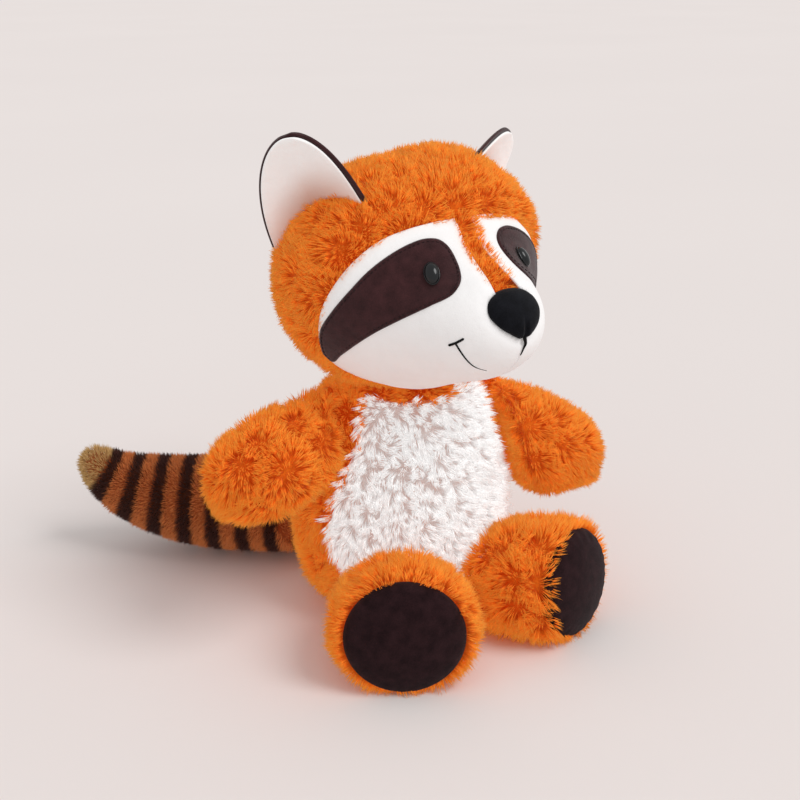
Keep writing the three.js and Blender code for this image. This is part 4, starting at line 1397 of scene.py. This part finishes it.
def cut_panel(outer, holes, spacing, split=False):
    """Even triangles inside all of `outer` and outside the holes: their angles and corners.

    Where `split`, the panel is cut along the face's middle line and only its left half is kept.
    """
    loops = [*outer, *holes]
    places = []
    edges = []
    for loop in loops:
        start = len(places)
        places += [tuple(p) for p in loop]
        edges += [(start + i, start + (i + 1) % len(loop)) for i in range(len(loop))]
    low = outer[0].min(axis=0)
    high = outer[0].max(axis=0)
    if split:
        start = len(places)
        ups = np.arange(low[1] - spacing, high[1] + spacing, spacing)
        places += [(0.0, up) for up in ups]
        edges += [(start + i, start + i + 1) for i in range(len(ups) - 1)]
    rows = np.arange(low[1], high[1], spacing * math.sqrt(3) / 2)
    rims = np.concatenate(loops)
    for row, up in enumerate(rows):
        turns = np.arange(low[0] + (row % 2) * spacing / 2, high[0], spacing)
        line = np.stack([turns, np.full(len(turns), up)], axis=-1)
        clear = np.linalg.norm(line[:, None] - rims[None], axis=2).min(axis=1) > CLEAR_OF_RIM * spacing
        if split:
            clear &= np.abs(line[:, 0]) > CLEAR_OF_SPLIT * spacing
        places += [tuple(p) for p in line[clear]]
    cut = geometry.delaunay_2d_cdt([Vector(p) for p in places], edges, [], 0, 1e-6)
    corners = np.array([tuple(p) for p in cut[0]])
    triangles = np.array([tuple(face) for face in cut[2]])
    a, b, c = (corners[triangles[:, k]] for k in range(3))
    area = (b[:, 0] - a[:, 0]) * (c[:, 1] - a[:, 1]) - (b[:, 1] - a[:, 1]) * (c[:, 0] - a[:, 0])
    triangles[area < 0] = triangles[area < 0][:, ::-1]
    middle = (a + b + c) / 3
    keep = np.abs(area) > 1e-9
    for loop in outer:
        keep &= inside(middle, loop)
    for loop in holes:
        keep &= ~inside(middle, loop)
    if split:
        keep &= middle[:, 0] > 0
    triangles = triangles[keep]
    used, flat = np.unique(triangles, return_inverse=True)
    return corners[used], flat.reshape(-1, 3)


def rim_edges(triangles):
    """Edges with a triangle on one side only, each running with that triangle."""
    edges = np.concatenate([triangles[:, [0, 1]], triangles[:, [1, 2]], triangles[:, [2, 0]]])
    known = set(map(tuple, edges.tolist()))
    return np.array([edge for edge in known if edge[::-1] not in known])


def distance_to_edges(points, edges):
    """How far each point lies from the nearest of a set of edges, both in 3-D."""
    a, b = points[edges[:, 0]], points[edges[:, 1]]
    along = b - a
    length = (along * along).sum(-1)
    nearest = np.full(len(points), np.inf)
    for start, way, square in zip(a, along, length):
        share = np.clip((points - start) @ way / square, 0, 1)
        gap = np.linalg.norm(points - start - share[:, None] * way, axis=1)
        nearest = np.minimum(nearest, gap)
    return nearest


def closed_sheet(angles, triangles, top, bottom, side="left"):
    """A panel of cloth on the head between two lifts, each one number or one for each point."""
    if side == "right":
        angles = angles * np.array([-1, 1])
        triangles = triangles[:, ::-1]
    count = len(angles)
    lifts = [np.broadcast_to(lift, count) for lift in (top, bottom)]
    points = np.concatenate([on_head(angles, lift) for lift in lifts])
    faces = triangles.tolist() + (triangles[:, ::-1] + count).tolist()
    faces += [(b, a, a + count, b + count) for a, b in rim_edges(triangles)]
    return carried(points, head_frame), faces


# %% [markdown]
# Cloth dips where it is sewn to its neighbour and swells between the seams. How far a point lies
# from the panel's rim gives both, and a little slow noise adds the folds of cloth that isn't
# stretched quite evenly.

# %% Cheeks
COVER = 3 * MM
RIM_SHARE = 0.35  # how thick the rim of a patch or an ear is, as a share of its middle
CHEEK_SPACING = 1.0
SEAM_DIP = 1.5 * MM
SEAM_REACH = 6 * MM
MIDDLE_DIP = 0.25 * MM
MIDDLE_REACH = 1.6 * MM
FOLD_HEIGHT = 0.35 * MM
FOLD_SIZE = 11 * MM
FOLD_SQUEEZE = np.array([1, 1, 0.35])  # makes the folds longer upright than they are wide
FOLDS_FROM_MIDDLE = 8 * MM  # the folds set in over this way from the seam under the nose


def slow_noise(points, size, seed):
    shift = Vector((seed * 17.0, seed * 5.0, seed * 3.0))
    return np.array([noise.noise(Vector(p) / size + shift) for p in points])


cheek_angles, cheek_triangles = cut_panel([face_loop], [strip_loop, nose_loop], CHEEK_SPACING, split=True)
cheek_skin = on_head(cheek_angles)
rims = rim_edges(cheek_triangles)
on_middle = (np.abs(cheek_angles[rims]) < 1e-4)[:, :, 0].all(axis=1)
from_rim = distance_to_edges(cheek_skin, rims[~on_middle])
from_middle = distance_to_edges(cheek_skin, rims[on_middle])
cheek_lift = -SEAM_DIP * (1 - smooth_step(from_rim / SEAM_REACH))
cheek_lift -= MIDDLE_DIP * (1 - smooth_step(from_middle / MIDDLE_REACH))
calm = smooth_step(from_middle / FOLDS_FROM_MIDDLE)
for number, side in enumerate(SIDES):
    folds = slow_noise(cheek_skin * FOLD_SQUEEZE, FOLD_SIZE, number + 1)
    creased = cheek_lift + FOLD_HEIGHT * calm * folds
    cloth = closed_sheet(cheek_angles, cheek_triangles, creased, -COVER, side)
    add_piece(f"cheek_cloth_{side}", *cloth, "head", "white_velour", [f"cheek_{side}"], white_velour)
print("a cheek has", len(cheek_triangles), "triangles on its face")

# %% Eye patches
PATCH_SPACING = 0.8
PATCH_TOP = 1.35 * MM
PATCH_UNDER = -0.4 * MM
PATCH_ROUNDING = 1.1 * MM
STITCH_IN = 2.0 * MM
STITCH_GROOVE = 0.4 * MM
STITCH_GROOVE_HALF = 0.8 * MM
WEAR_HEIGHT = 0.18 * MM
WEAR_SIZE = 7 * MM

patch_angles, patch_triangles = cut_panel([patch_loop, face_loop], [], PATCH_SPACING)
patch_skin = on_head(patch_angles)
patch_rims = rim_edges(patch_triangles)
patch_from_rim = distance_to_edges(patch_skin, patch_rims)
rounding = np.clip(patch_from_rim / PATCH_ROUNDING, 0, 1)
patch_lift = PATCH_TOP * (RIM_SHARE + (1 - RIM_SHARE) * np.sqrt(1 - (1 - rounding) ** 2))
groove = np.clip(1 - np.abs(patch_from_rim - STITCH_IN) / STITCH_GROOVE_HALF, 0, 1)
patch_lift = patch_lift - STITCH_GROOVE * smooth_step(groove)
for number, side in enumerate(SIDES):
    worn = patch_lift + WEAR_HEIGHT * slow_noise(patch_skin, WEAR_SIZE, number + 5)
    cloth = closed_sheet(patch_angles, patch_triangles, worn, PATCH_UNDER, side)
    add_piece(f"patch_cloth_{side}", *cloth, "head", "brown_suede", [f"eye_patch_{side}"], brown_suede)
print("a patch has", len(patch_triangles), "triangles on its face")

# %% Nose
NOSE_SPACING = 0.45
NOSE_EDGE = -0.6 * MM
NOSE_SWELL = 3.4 * MM
NOSE_REACH = 9 * MM
NOSE_NOTCH = 1.6 * MM
NOSE_NOTCH_HALF = 2.4 * MM

nose_angles, nose_triangles = cut_panel([nose_loop], [], NOSE_SPACING)
nose_skin = on_head(nose_angles)
nose_from_rim = distance_to_edges(nose_skin, rim_edges(nose_triangles))
crown = np.clip(nose_from_rim / NOSE_REACH, 0, 1)
nose_lift = NOSE_EDGE + NOSE_SWELL * np.sqrt(1 - (1 - crown) ** 2)
low = smooth_step((2 - nose_angles[:, 1]) / 7)
low_middle = np.clip(1 - np.abs(nose_skin[:, 0]) / NOSE_NOTCH_HALF, 0, 1) * low
nose_lift -= NOSE_NOTCH * smooth_step(low_middle)
cloth = closed_sheet(nose_angles, nose_triangles, nose_lift, -COVER)
add_piece("nose_cloth", *cloth, "head", "black_velvet", ["nose"], black_velvet)

# %% [markdown]
# ## Stitches
# The row of stitches inside each patch's edge repeats along a curve, which is what Geometry Nodes
# are best at: resample the curve, put a small stitch on every point and turn it along the curve.


# %% The tree that sews
STITCH_SIDES = 6
STITCH_SIZES = {
    "Stitch": "NodeSocketObject",
    "Pitch": "NodeSocketFloat",
    "Thread": "NodeSocketMaterial",
}


def stitch_tree():
    sheet, given = new_tree("stitches", STITCH_SIZES)
    row = sheet.add("GeometryNodeResampleCurve", {"mode": "LENGTH"}, {
        "Curve": given["Geometry"],
        "Length": given["Pitch"],
    })
    spots = sheet.add("GeometryNodeCurveToPoints", {"mode": "EVALUATED"}, {"Curve": row})
    turned = pointed(sheet, spots.other("Tangent"))
    return planted(sheet, {"Points": spots, "Rotation": turned}, given["Stitch"], given["Thread"])


def turned_form(profile, sides):
    """A closed form turned about Z from (radius, height) pairs whose ends lie on the axis."""
    points = [(0, 0, profile[0][1])]
    for radius, height in profile[1:-1]:
        for k in range(sides):
            turn = 2 * math.pi * k / sides
            points.append((radius * math.cos(turn), radius * math.sin(turn), height))
    points.append((0, 0, profile[-1][1]))
    last = len(points) - 1
    rings = len(profile) - 2
    faces = [(0, 1 + (k + 1) % sides, 1 + k) for k in range(sides)]
    for ring in range(rings - 1):
        low = 1 + ring * sides
        for k in range(sides):
            next_k = (k + 1) % sides
            faces.append((low + k, low + next_k, low + sides + next_k, low + sides + k))
    top = 1 + (rings - 1) * sides
    faces += [(top + k, top + (k + 1) % sides, last) for k in range(sides)]
    return np.array(points), faces


def stitch_object(name, length, thickness):
    half = length / 2
    body = STITCH_FULL * half
    profile = [(0, -half), (thickness / 2, -body), (thickness / 2, body), (0, half)]
    return bpy.data.objects.new(name, new_mesh(name, *turned_form(profile, STITCH_SIDES)))


def sewn_row(name, line, pitch, template, thread):
    """Stitches along a closed line of points."""
    curve = bpy.data.curves.new(name, "CURVE")
    curve.dimensions = "3D"
    spline = curve.splines.new("POLY")
    spline.points.add(len(line) - 1)
    spline.points.foreach_set("co", np.concatenate([line, np.ones((len(line), 1))], axis=1).ravel())
    spline.use_cyclic_u = True
    path = add_object(name + "_path", curve)
    add_tree(path, stitches, {"Stitch": template, "Pitch": pitch, "Thread": thread})
    graph = bpy.context.evaluated_depsgraph_get()
    mesh = bpy.data.meshes.new_from_object(path.evaluated_get(graph), depsgraph=graph)
    bpy.data.objects.remove(path)
    mesh.name = name
    return add_object(name, mesh)


stitches = stitch_tree()

# %% Stitches round the patches
STITCH_LENGTH = 2.0 * MM
STITCH_PITCH = 2.7 * MM
STITCH_WIDTH = 0.55 * MM
STITCH_FULL = 0.6  # share of a stitch's length over which it keeps its full width
STITCH_SINK = 0.25 * MM
LINE_REACH = 3  # points before and behind that give a line's direction
LINE_ROUNDS = 4  # rounds of smoothing
patch_stitch = stitch_object("patch_stitch", STITCH_LENGTH, STITCH_WIDTH)


def inset_line(angles, edges, distance, lift):
    """The rim as an ordered line, moved inwards over the head by a distance."""
    follow = {a: b for a, b in edges.tolist()}
    start = edges[0][0]
    order = [start]
    while follow[order[-1]] != start:
        order.append(follow[order[-1]])
    rim = angles[order]
    skin = on_head(rim, lift)
    ahead = unit(np.roll(skin, -LINE_REACH, axis=0) - np.roll(skin, LINE_REACH, axis=0))
    inwards = np.cross(unit(skin), ahead)
    moved = skin + distance * inwards
    for _ in range(LINE_ROUNDS):
        moved = (np.roll(moved, 1, axis=0) + moved + np.roll(moved, -1, axis=0)) / 3
    return moved


patch_line = inset_line(patch_angles, patch_rims, STITCH_IN, PATCH_TOP - STITCH_SINK)
for side in SIDES:
    line = carried(patch_line * MIRROR[side], head_frame)
    row = sewn_row(f"patch_stitches_{side}", line, STITCH_PITCH, patch_stitch, dark_thread)
    settle(row, "head")
    print(row.name, "has", len(row.data.polygons), "faces")


# %% [markdown]
# ## Mouth and nose threads
# Each half of the mouth is a black thread couched on the velour: a short tick at the corner, then a
# curve that thins out under the nose. A few points on the globe and a radius at each end are
# enough. The tube is swept between them and lies partly sunk in the cloth.

# %% Threads on the face
THREAD_SIDES = 8
THREAD_LIFT = 0.25  # how far a thread's middle stands above the cloth, as a share of its radius
MOUTH_CORNER = [(-20.6, -10.1), (-19.1, -9.0), (-17.0, -7.1)]
MOUTH_CURVE = [(-19.0, -8.9), (-17.4, -11.5), (-15.4, -14.2), (-13.2, -16.3), (-11.2, -17.4), (-8.3, -18.3)]
MOUTH_THREADS = (  # corners, first and last radius, steps
    (MOUTH_CORNER, 0.75 * MM, 0.7 * MM, 12),
    (MOUTH_CURVE, 0.6 * MM, 0.15 * MM, 40),
)
MOUTH_WIDTH = {"right": 1.0, "left": -1.13}  # the photograph hides the left corner behind the snout
NOSE_THREAD = [(0.0, -6.6), (0.6, -8.4), (0.3, -9.9), (0.1, -12.2)]


def smooth_line(corners, steps):
    """An open curve through the corners, by the same rule as the loops."""
    corners = np.asarray(corners, float)
    t = np.linspace(0, len(corners) - 1, steps)
    i = np.clip(t.astype(int), 0, len(corners) - 2)
    share = (t - i)[:, None]
    padded = np.concatenate([2 * corners[:1] - corners[1:2], corners, 2 * corners[-1:] - corners[-2:-1]])
    a, b, c, d = (padded[i + k] for k in range(4))
    return 0.5 * (2 * b + (c - a) * share + (2 * a - 5 * b + 4 * c - d) * share ** 2
                  + (3 * b - a - 3 * c + d) * share ** 3)


def thread_tube(line, radii):
    """A closed round tube along a line, pointed at both ends."""
    line = np.asarray(line)
    ahead = unit(np.gradient(line, axis=0))
    side = unit(np.cross(ahead, np.array([0.3, 0.2, 1.0])))
    up = np.cross(side, ahead)
    turn = 2 * math.pi * np.arange(THREAD_SIDES) / THREAD_SIDES
    ring = np.cos(turn)[None, :, None] * side[:, None] + np.sin(turn)[None, :, None] * up[:, None]
    body = (line[:, None] + radii[:, None, None] * ring).reshape(-1, 3)
    points = np.concatenate([body, [line[0] - ahead[0] * radii[0], line[-1] + ahead[-1] * radii[-1]]])
    count = len(line)
    faces = []
    for i in range(count - 1):
        for k in range(THREAD_SIDES):
            n = (k + 1) % THREAD_SIDES
            a, b = i * THREAD_SIDES, (i + 1) * THREAD_SIDES
            faces.append((a + k, b + k, b + n, a + n))
    start, end = count * THREAD_SIDES, count * THREAD_SIDES + 1
    last = (count - 1) * THREAD_SIDES
    for k in range(THREAD_SIDES):
        n = (k + 1) % THREAD_SIDES
        faces.append((k, n, start))
        faces.append((last + n, last + k, end))
    return points, faces


def thread_on_head(corners, from_radius, to_radius, steps):
    """A thread on the velour, tapering from one radius to the other."""
    angles = smooth_line(corners, steps)
    radii = np.linspace(from_radius, to_radius, steps)
    line = carried(on_head(angles, THREAD_LIFT * radii), head_frame)
    return thread_tube(line, radii)


threads = [
    thread_on_head([(stretch * turn, up) for turn, up in corners], *taper)
    for stretch in MOUTH_WIDTH.values()
    for corners, *taper in MOUTH_THREADS
]
add_piece("mouth_thread", *join_meshes(threads), "head", "black_velvet", (), black_thread)
nose_thread = thread_on_head(NOSE_THREAD, from_radius=1.1 * MM, to_radius=0.25 * MM, steps=24)
add_piece("nose_thread", *nose_thread, "head", "black_velvet", (), black_thread)

# %% [markdown]
# ## Eyes
# Each eye is a moulded oval dome on a stem that is pushed through the cloth and locked by a washer
# behind it. One profile turned about the stem and stretched to an oval gives dome, rim and stem in
# a single closed form.

# %% Eye domes
EYE_ROUND = 24
EYE_UP = 13
EYE_TILT = math.radians(10)  # the tops lean outwards
EYE_HALF_WIDTH = 4.4
EYE_HALF_HEIGHT = 6.6
EYE_DOME = 3.6
EYE_BASE = 2.1
STEM_RADIUS = 2.0
STEM_LENGTH = 12.0
EYE_SIDES = 48
DOME_STEPS = 12
DOME_FROM = 0.6  # height at which the rim ends and the dome begins
DOME_IN = 0.35  # how much narrower the dome starts than the rim
EYE_SLACK = 0.1  # tells the stem's points from the oval's


def eye_profile():
    """(radius, height) in mm on a circle of the half width, from the stem's end up to the dome's top."""
    underneath = [(0, -STEM_LENGTH), (STEM_RADIUS - 0.4, -STEM_LENGTH), (STEM_RADIUS, -STEM_LENGTH + 0.5)]
    underneath += [(STEM_RADIUS, -0.05), (EYE_HALF_WIDTH - 0.25, -0.05), (EYE_HALF_WIDTH, 0.12)]
    rim = [(EYE_HALF_WIDTH, 0.4), (EYE_HALF_WIDTH - 0.18, 0.62)]
    dome = []
    for step in range(DOME_STEPS):
        turn = 0.5 * math.pi * step / DOME_STEPS
        across = (EYE_HALF_WIDTH - DOME_IN) * math.cos(turn)
        dome.append((across, DOME_FROM + (EYE_DOME - DOME_FROM) * math.sin(turn)))
    return underneath + rim + dome + [(0, EYE_DOME)]


eye_points, eye_faces = turned_form(eye_profile(), EYE_SIDES)
stretch = EYE_HALF_HEIGHT / EYE_HALF_WIDTH
beyond_stem = np.hypot(eye_points[:, 0], eye_points[:, 1]) > STEM_RADIUS + EYE_SLACK
low = eye_points[:, 2] < -EYE_SLACK
eye_points[:, 1] *= np.where(low & ~beyond_stem, 1.0, stretch)
eye_points[:, 2] += EYE_BASE
eye_points = carried(eye_points, Matrix.Rotation(-EYE_TILT, 4, "Z"))
spot = head_surface_frame(EYE_ROUND, EYE_UP)
eye_in_head = carried(eye_points * MM, spot)
for side in SIDES:
    place = carried(eye_in_head * MIRROR[side], head_frame)
    add_piece(f"eye_dome_{side}", place, facing_out(eye_faces, side),
              "head", "black_plastic", [f"eye_{side}"], eye_plastic)
    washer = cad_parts[f"eye_washer_{side}"]
    washer.data.materials.clear()
    washer.data.materials.append(washer_plastic)

# %% [markdown]
# ## Ears
# An ear is two leaves of cloth sewn edge to edge and cupped forwards: white velour in front, dark
# suede behind and a little larger, so that it shows as a rim. The leaf is a rule in two directions,
# from side to side and from foot to tip, so a grid of points carries it. The foot follows the head.

# %% Ear leaves
EAR_FOOT = (97, 40)
EARS = {
    "left": {"turn": 42, "lean": 47, "nod": 31, "height": 37.2 * MM, "half_width": 28.0 * MM,
             "cup": 10.5 * MM, "outer_share": 0.85, "foot_spread": 0.2},
    "right": {"turn": 46, "lean": 10, "nod": 30, "height": 43.5 * MM, "half_width": 30.5 * MM,
              "cup": 13.0 * MM, "outer_share": 0.92, "foot_spread": 0.3},
}
EAR_SINK = 24 * MM
EAR_RIM = 1.2 * MM
EAR_CURL_WIDTH = 30.5 * MM  # at this far aside a leaf has curled forwards by its whole cup
EAR_ROOT_DEPTH = 2.6 * MM  # how far into the pile a leaf is sewn
EAR_TIP = 0.9992  # how near the tip the last row of points comes
EAR_RIM_MIDDLE, EAR_RIM_SLOPE = 0.6, 0.4  # the rim's width, widest on the inner half
EAR_ROUNDNESS = 2.4  # the power that shapes the outline from foot to tip
EAR_TIP_FLATTER = 0.25  # how much less the tip is cupped than the foot
FOOT_TRIES = np.linspace(0.02, 0.9, 400)  # heights tried for a leaf's foot
EAR_EDGE = 0.10  # share of the leaf over which it thins to its rim
EAR_ACROSS = 44
EAR_UP = 36
# How strong the painted shade is at the foot of an ear's front: shade in the crease where it is sewn on,
# and orange light from the fur
EAR_PAINTED_SHADE = 0.75
PAINTED_SHADE_REACH = 0.45  # share of the ear's height over which the painted shade fades
PAINTED_SHADE_ASIDE = 0.55  # how much of the painted shade is lost at the sides
LEAF_WELD = 0.02 * MM


def ear_frame(ear):
    """The left ear's place on the head, turned out, leant out and tipped forwards as the given ear is."""
    place = Matrix.Translation(on_head([EAR_FOOT])[0])
    for angle, axis in (("turn", "Z"), ("lean", "Y"), ("nod", "X")):
        place = place @ Matrix.Rotation(math.radians(ear[angle]), 4, axis)
    return place


def ear_point(u, v, ear, larger):
    """A place on the leaf's middle: u from side to side, v from below the foot to the tip.

    The outer half is a little narrower, and the inner half runs out wider towards the foot.
    """
    u, v = np.broadcast_arrays(u, v)
    larger = larger * (EAR_RIM_MIDDLE - EAR_RIM_SLOPE * u)
    height = -EAR_SINK + (ear["height"] + EAR_SINK + larger) * v
    width = (ear["half_width"] + larger) * np.sqrt(np.maximum(1 - v ** EAR_ROUNDNESS, 0))
    across = u * width * np.where(u > 0, ear["outer_share"], 1 + ear["foot_spread"] * (1 - v) ** 2)
    curl = (across / EAR_CURL_WIDTH) ** 2
    return np.stack([across, -ear["cup"] * curl * (1 - EAR_TIP_FLATTER * v), height], axis=-1)


def foot_share(u, ear, larger, place):
    """The lowest v at which the leaf is no deeper in the pile than its root."""
    v = FOOT_TRIES
    places = ear_point(u[:, None], v[None, :], ear, larger)
    in_head = carried(places.reshape(-1, 3), place)
    reach = np.linalg.norm(in_head, axis=1)
    depth = (head_radius(unit(in_head)) - reach).reshape(len(u), len(v))
    return v[np.argmax(depth < EAR_ROOT_DEPTH, axis=1)]


def ear_leaf(front, back, ear, larger, place):
    """A closed sheet between two distances in front of the leaf's middle, thinner at its rim."""
    u = np.linspace(-1, 1, EAR_ACROSS + 1)
    u = np.sin(u * math.pi / 2)
    start = foot_share(u, ear, larger, place)
    climb = np.sin(np.linspace(0, 1, EAR_UP + 1) * math.pi / 2)
    v = start[None, :] + (EAR_TIP - start[None, :]) * climb[:, None]
    across = np.broadcast_to(u[None, :], v.shape)
    fine = 1e-3
    near = np.clip(v, 0.03, 0.97)
    beside = ear_point(across + fine, near, ear, larger) - ear_point(across - fine, near, ear, larger)
    above = ear_point(across, near + fine, ear, larger) - ear_point(across, near - fine, ear, larger)
    normal = unit(np.cross(above, beside))
    middle = ear_point(across, v, ear, larger)
    from_edge = np.minimum(1 - np.abs(across), 2.2 * (1 - climb[:, None]))
    body = np.sqrt(np.clip(from_edge / EAR_EDGE, 0, 1))[..., None]
    centre = (front + back) / 2
    half = (front - back) / 2
    thick = RIM_SHARE + (1 - RIM_SHARE) * body
    sheets = [middle - normal * (centre + sign * half * thick) for sign in (1, -1)]
    points = np.concatenate([sheet.reshape(-1, 3) for sheet in sheets])
    row = EAR_ACROSS + 1
    size = row * (EAR_UP + 1)
    faces = []
    for j in range(EAR_UP):
        for i in range(EAR_ACROSS):
            a = j * row + i
            faces.append((a, a + 1, a + row + 1, a + row))
            faces.append((size + a, size + a + row, size + a + row + 1, size + a + 1))
    edge = list(range(EAR_ACROSS)) + [j * row + EAR_ACROSS for j in range(EAR_UP)]
    edge += [EAR_UP * row + i for i in range(EAR_ACROSS, 0, -1)] + [j * row for j in range(EAR_UP, 0, -1)]
    for a, b in zip(edge, edge[1:] + edge[:1]):
        faces.append((b, a, size + a, size + b))
    # Painted shade, strongest at the foot and in the middle of the leaf
    fading = 1 - smooth_step((v - start[None, :]) / PAINTED_SHADE_REACH)
    blush = fading * (1 - PAINTED_SHADE_ASIDE * np.abs(across))
    return points, faces, np.concatenate([blush.ravel()] * 2)


def merge_points(whole):
    """Welds the points that meet at a leaf's tip and at its corners."""
    bmesh.ops.remove_doubles(whole, verts=whole.verts, dist=LEAF_WELD)
    bmesh.ops.dissolve_degenerate(whole, edges=whole.edges, dist=LEAF_WELD / 10)
    bmesh.ops.recalc_face_normals(whole, faces=whole.faces)


LEAVES = {  # distances in front of the middle, how much larger the leaf is, slot and cloth
    "front": (2.15 * MM, 0.15 * MM, 0.0, "white_velour", ear_velour),
    "back": (-0.15 * MM, -2.75 * MM, EAR_RIM, "brown_suede", brown_suede),
}
for leaf, (front, back, larger, slot, cloth) in LEAVES.items():
    for side in SIDES:
        place = ear_frame(EARS[side])
        points, faces, blush = ear_leaf(front, back, EARS[side], larger, place)
        in_head = carried(points, place) * MIRROR[side]
        mesh = new_mesh(f"ear_{side}_{leaf}_leaf", carried(in_head, head_frame), faces)
        set_attribute(mesh, "blush", EAR_PAINTED_SHADE * blush)
        rework(mesh, merge_points)
        mesh.shade_smooth()
        settle(add_object(mesh.name, mesh), f"ear_{side}", [f"ear_{side}_{leaf}"], cloth)
    print("ear", leaf, "leaf:", len(faces), "faces")

# %% [markdown]
# ## Soles
# Each foot ends in an oval of suede. Stuffing crowns it, and the seam gathers its rim into shallow
# puckers. It is a turned form stretched to an oval, pressed flat where the foot meets the floor.

# %% Soles of the feet
SOLE_RADIUS = 33 * MM
SOLE_BACK = 2.5 * MM  # how far behind the sole's own distance its flat back and its rim begin
SOLE_WIDTH_SHARE = 1.05
SOLE_CROWN = 9 * MM
SOLE_RIM_DEPTH = 4.5 * MM
SOLE_RIM_ROLL = 3.3 * MM
SOLE_SIDES = 96
SOLE_RINGS = 22
PUCKERS = 26
PUCKER_DEPTH = 0.35 * MM
PUCKERS_FROM, PUCKERS_FULL, PUCKERS_END = 0.7, 0.9, 0.95  # shares of the radius, to 1 at the rim
LUMP_HEIGHT = 0.35 * MM
LUMP_SIZE = 16 * MM


def aimed_frame(at, direction):
    """A frame whose Z axis points along a direction, with its X axis level."""
    level = unit(np.cross([0, 0, 1.0], direction))
    return frame_of(level, np.cross(direction, level), direction, at)


def crowned(share):
    """The height of the padded sole at a share of its radius: a rolled rim, then a low dome."""
    rim = SOLE_RIM_ROLL * (1 - share ** 6) ** 0.5
    return SOLE_DISTANCE - SOLE_BACK + rim + (SOLE_CROWN - 0.8 * MM) * (1 - share ** 2) ** 0.8


def sole_profile():
    """From the middle of the inside, round the rim, to the middle of the crowned outside."""
    profile = [(0, SOLE_DISTANCE - SOLE_BACK), (0.93 * SOLE_RADIUS, SOLE_DISTANCE - SOLE_RIM_DEPTH)]
    for ring in range(SOLE_RINGS):
        share = 1 - ring / SOLE_RINGS
        profile.append((share * SOLE_RADIUS, crowned(share)))
    return profile + [(0, crowned(0))]


points, faces = turned_form(sole_profile(), SOLE_SIDES)
out = np.hypot(points[:, 0], points[:, 1]) / SOLE_RADIUS
turn = np.arctan2(points[:, 1], points[:, 0])
outside = points[:, 2] > SOLE_DISTANCE - 0.98 * SOLE_BACK
ripple = np.cos(PUCKERS * turn + 2 * np.sin(3 * turn))
ripple *= smooth_step((out - PUCKERS_FROM) / (PUCKERS_FULL - PUCKERS_FROM))
points[:, 2] += outside * PUCKER_DEPTH * ripple * smooth_step((1 - out) / (1 - PUCKERS_END))
points[:, 2] += outside * LUMP_HEIGHT * slow_noise(points, LUMP_SIZE, 9)
points[:, 0] *= SOLE_WIDTH_SHARE
sole_points = carried(points, aimed_frame(HIP, leg_direction("left")))
sole_points[:, 2] = np.maximum(sole_points[:, 2], FLOOR_CLEARANCE)
for side in SIDES:
    place = turn_foot(sole_points * MIRROR[side], side)
    add_piece(f"sole_cloth_{side}", place, facing_out(faces, side),
              f"leg_{side}", "brown_suede", [f"leg_{side}_sole"], sole_suede)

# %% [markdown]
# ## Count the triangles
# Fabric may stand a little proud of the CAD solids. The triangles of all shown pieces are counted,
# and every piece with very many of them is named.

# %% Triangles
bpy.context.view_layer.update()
MANY_TRIANGLES = 150_000
triangles_in_all = 0
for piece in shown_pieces():
    if piece.type == "MESH":
        piece.data.calc_loop_triangles()
        count = len(piece.data.loop_triangles)
        triangles_in_all += count
        if count > MANY_TRIANGLES:
            print(piece.name, "has", count, "triangles")
print("triangles in all:", triangles_in_all)
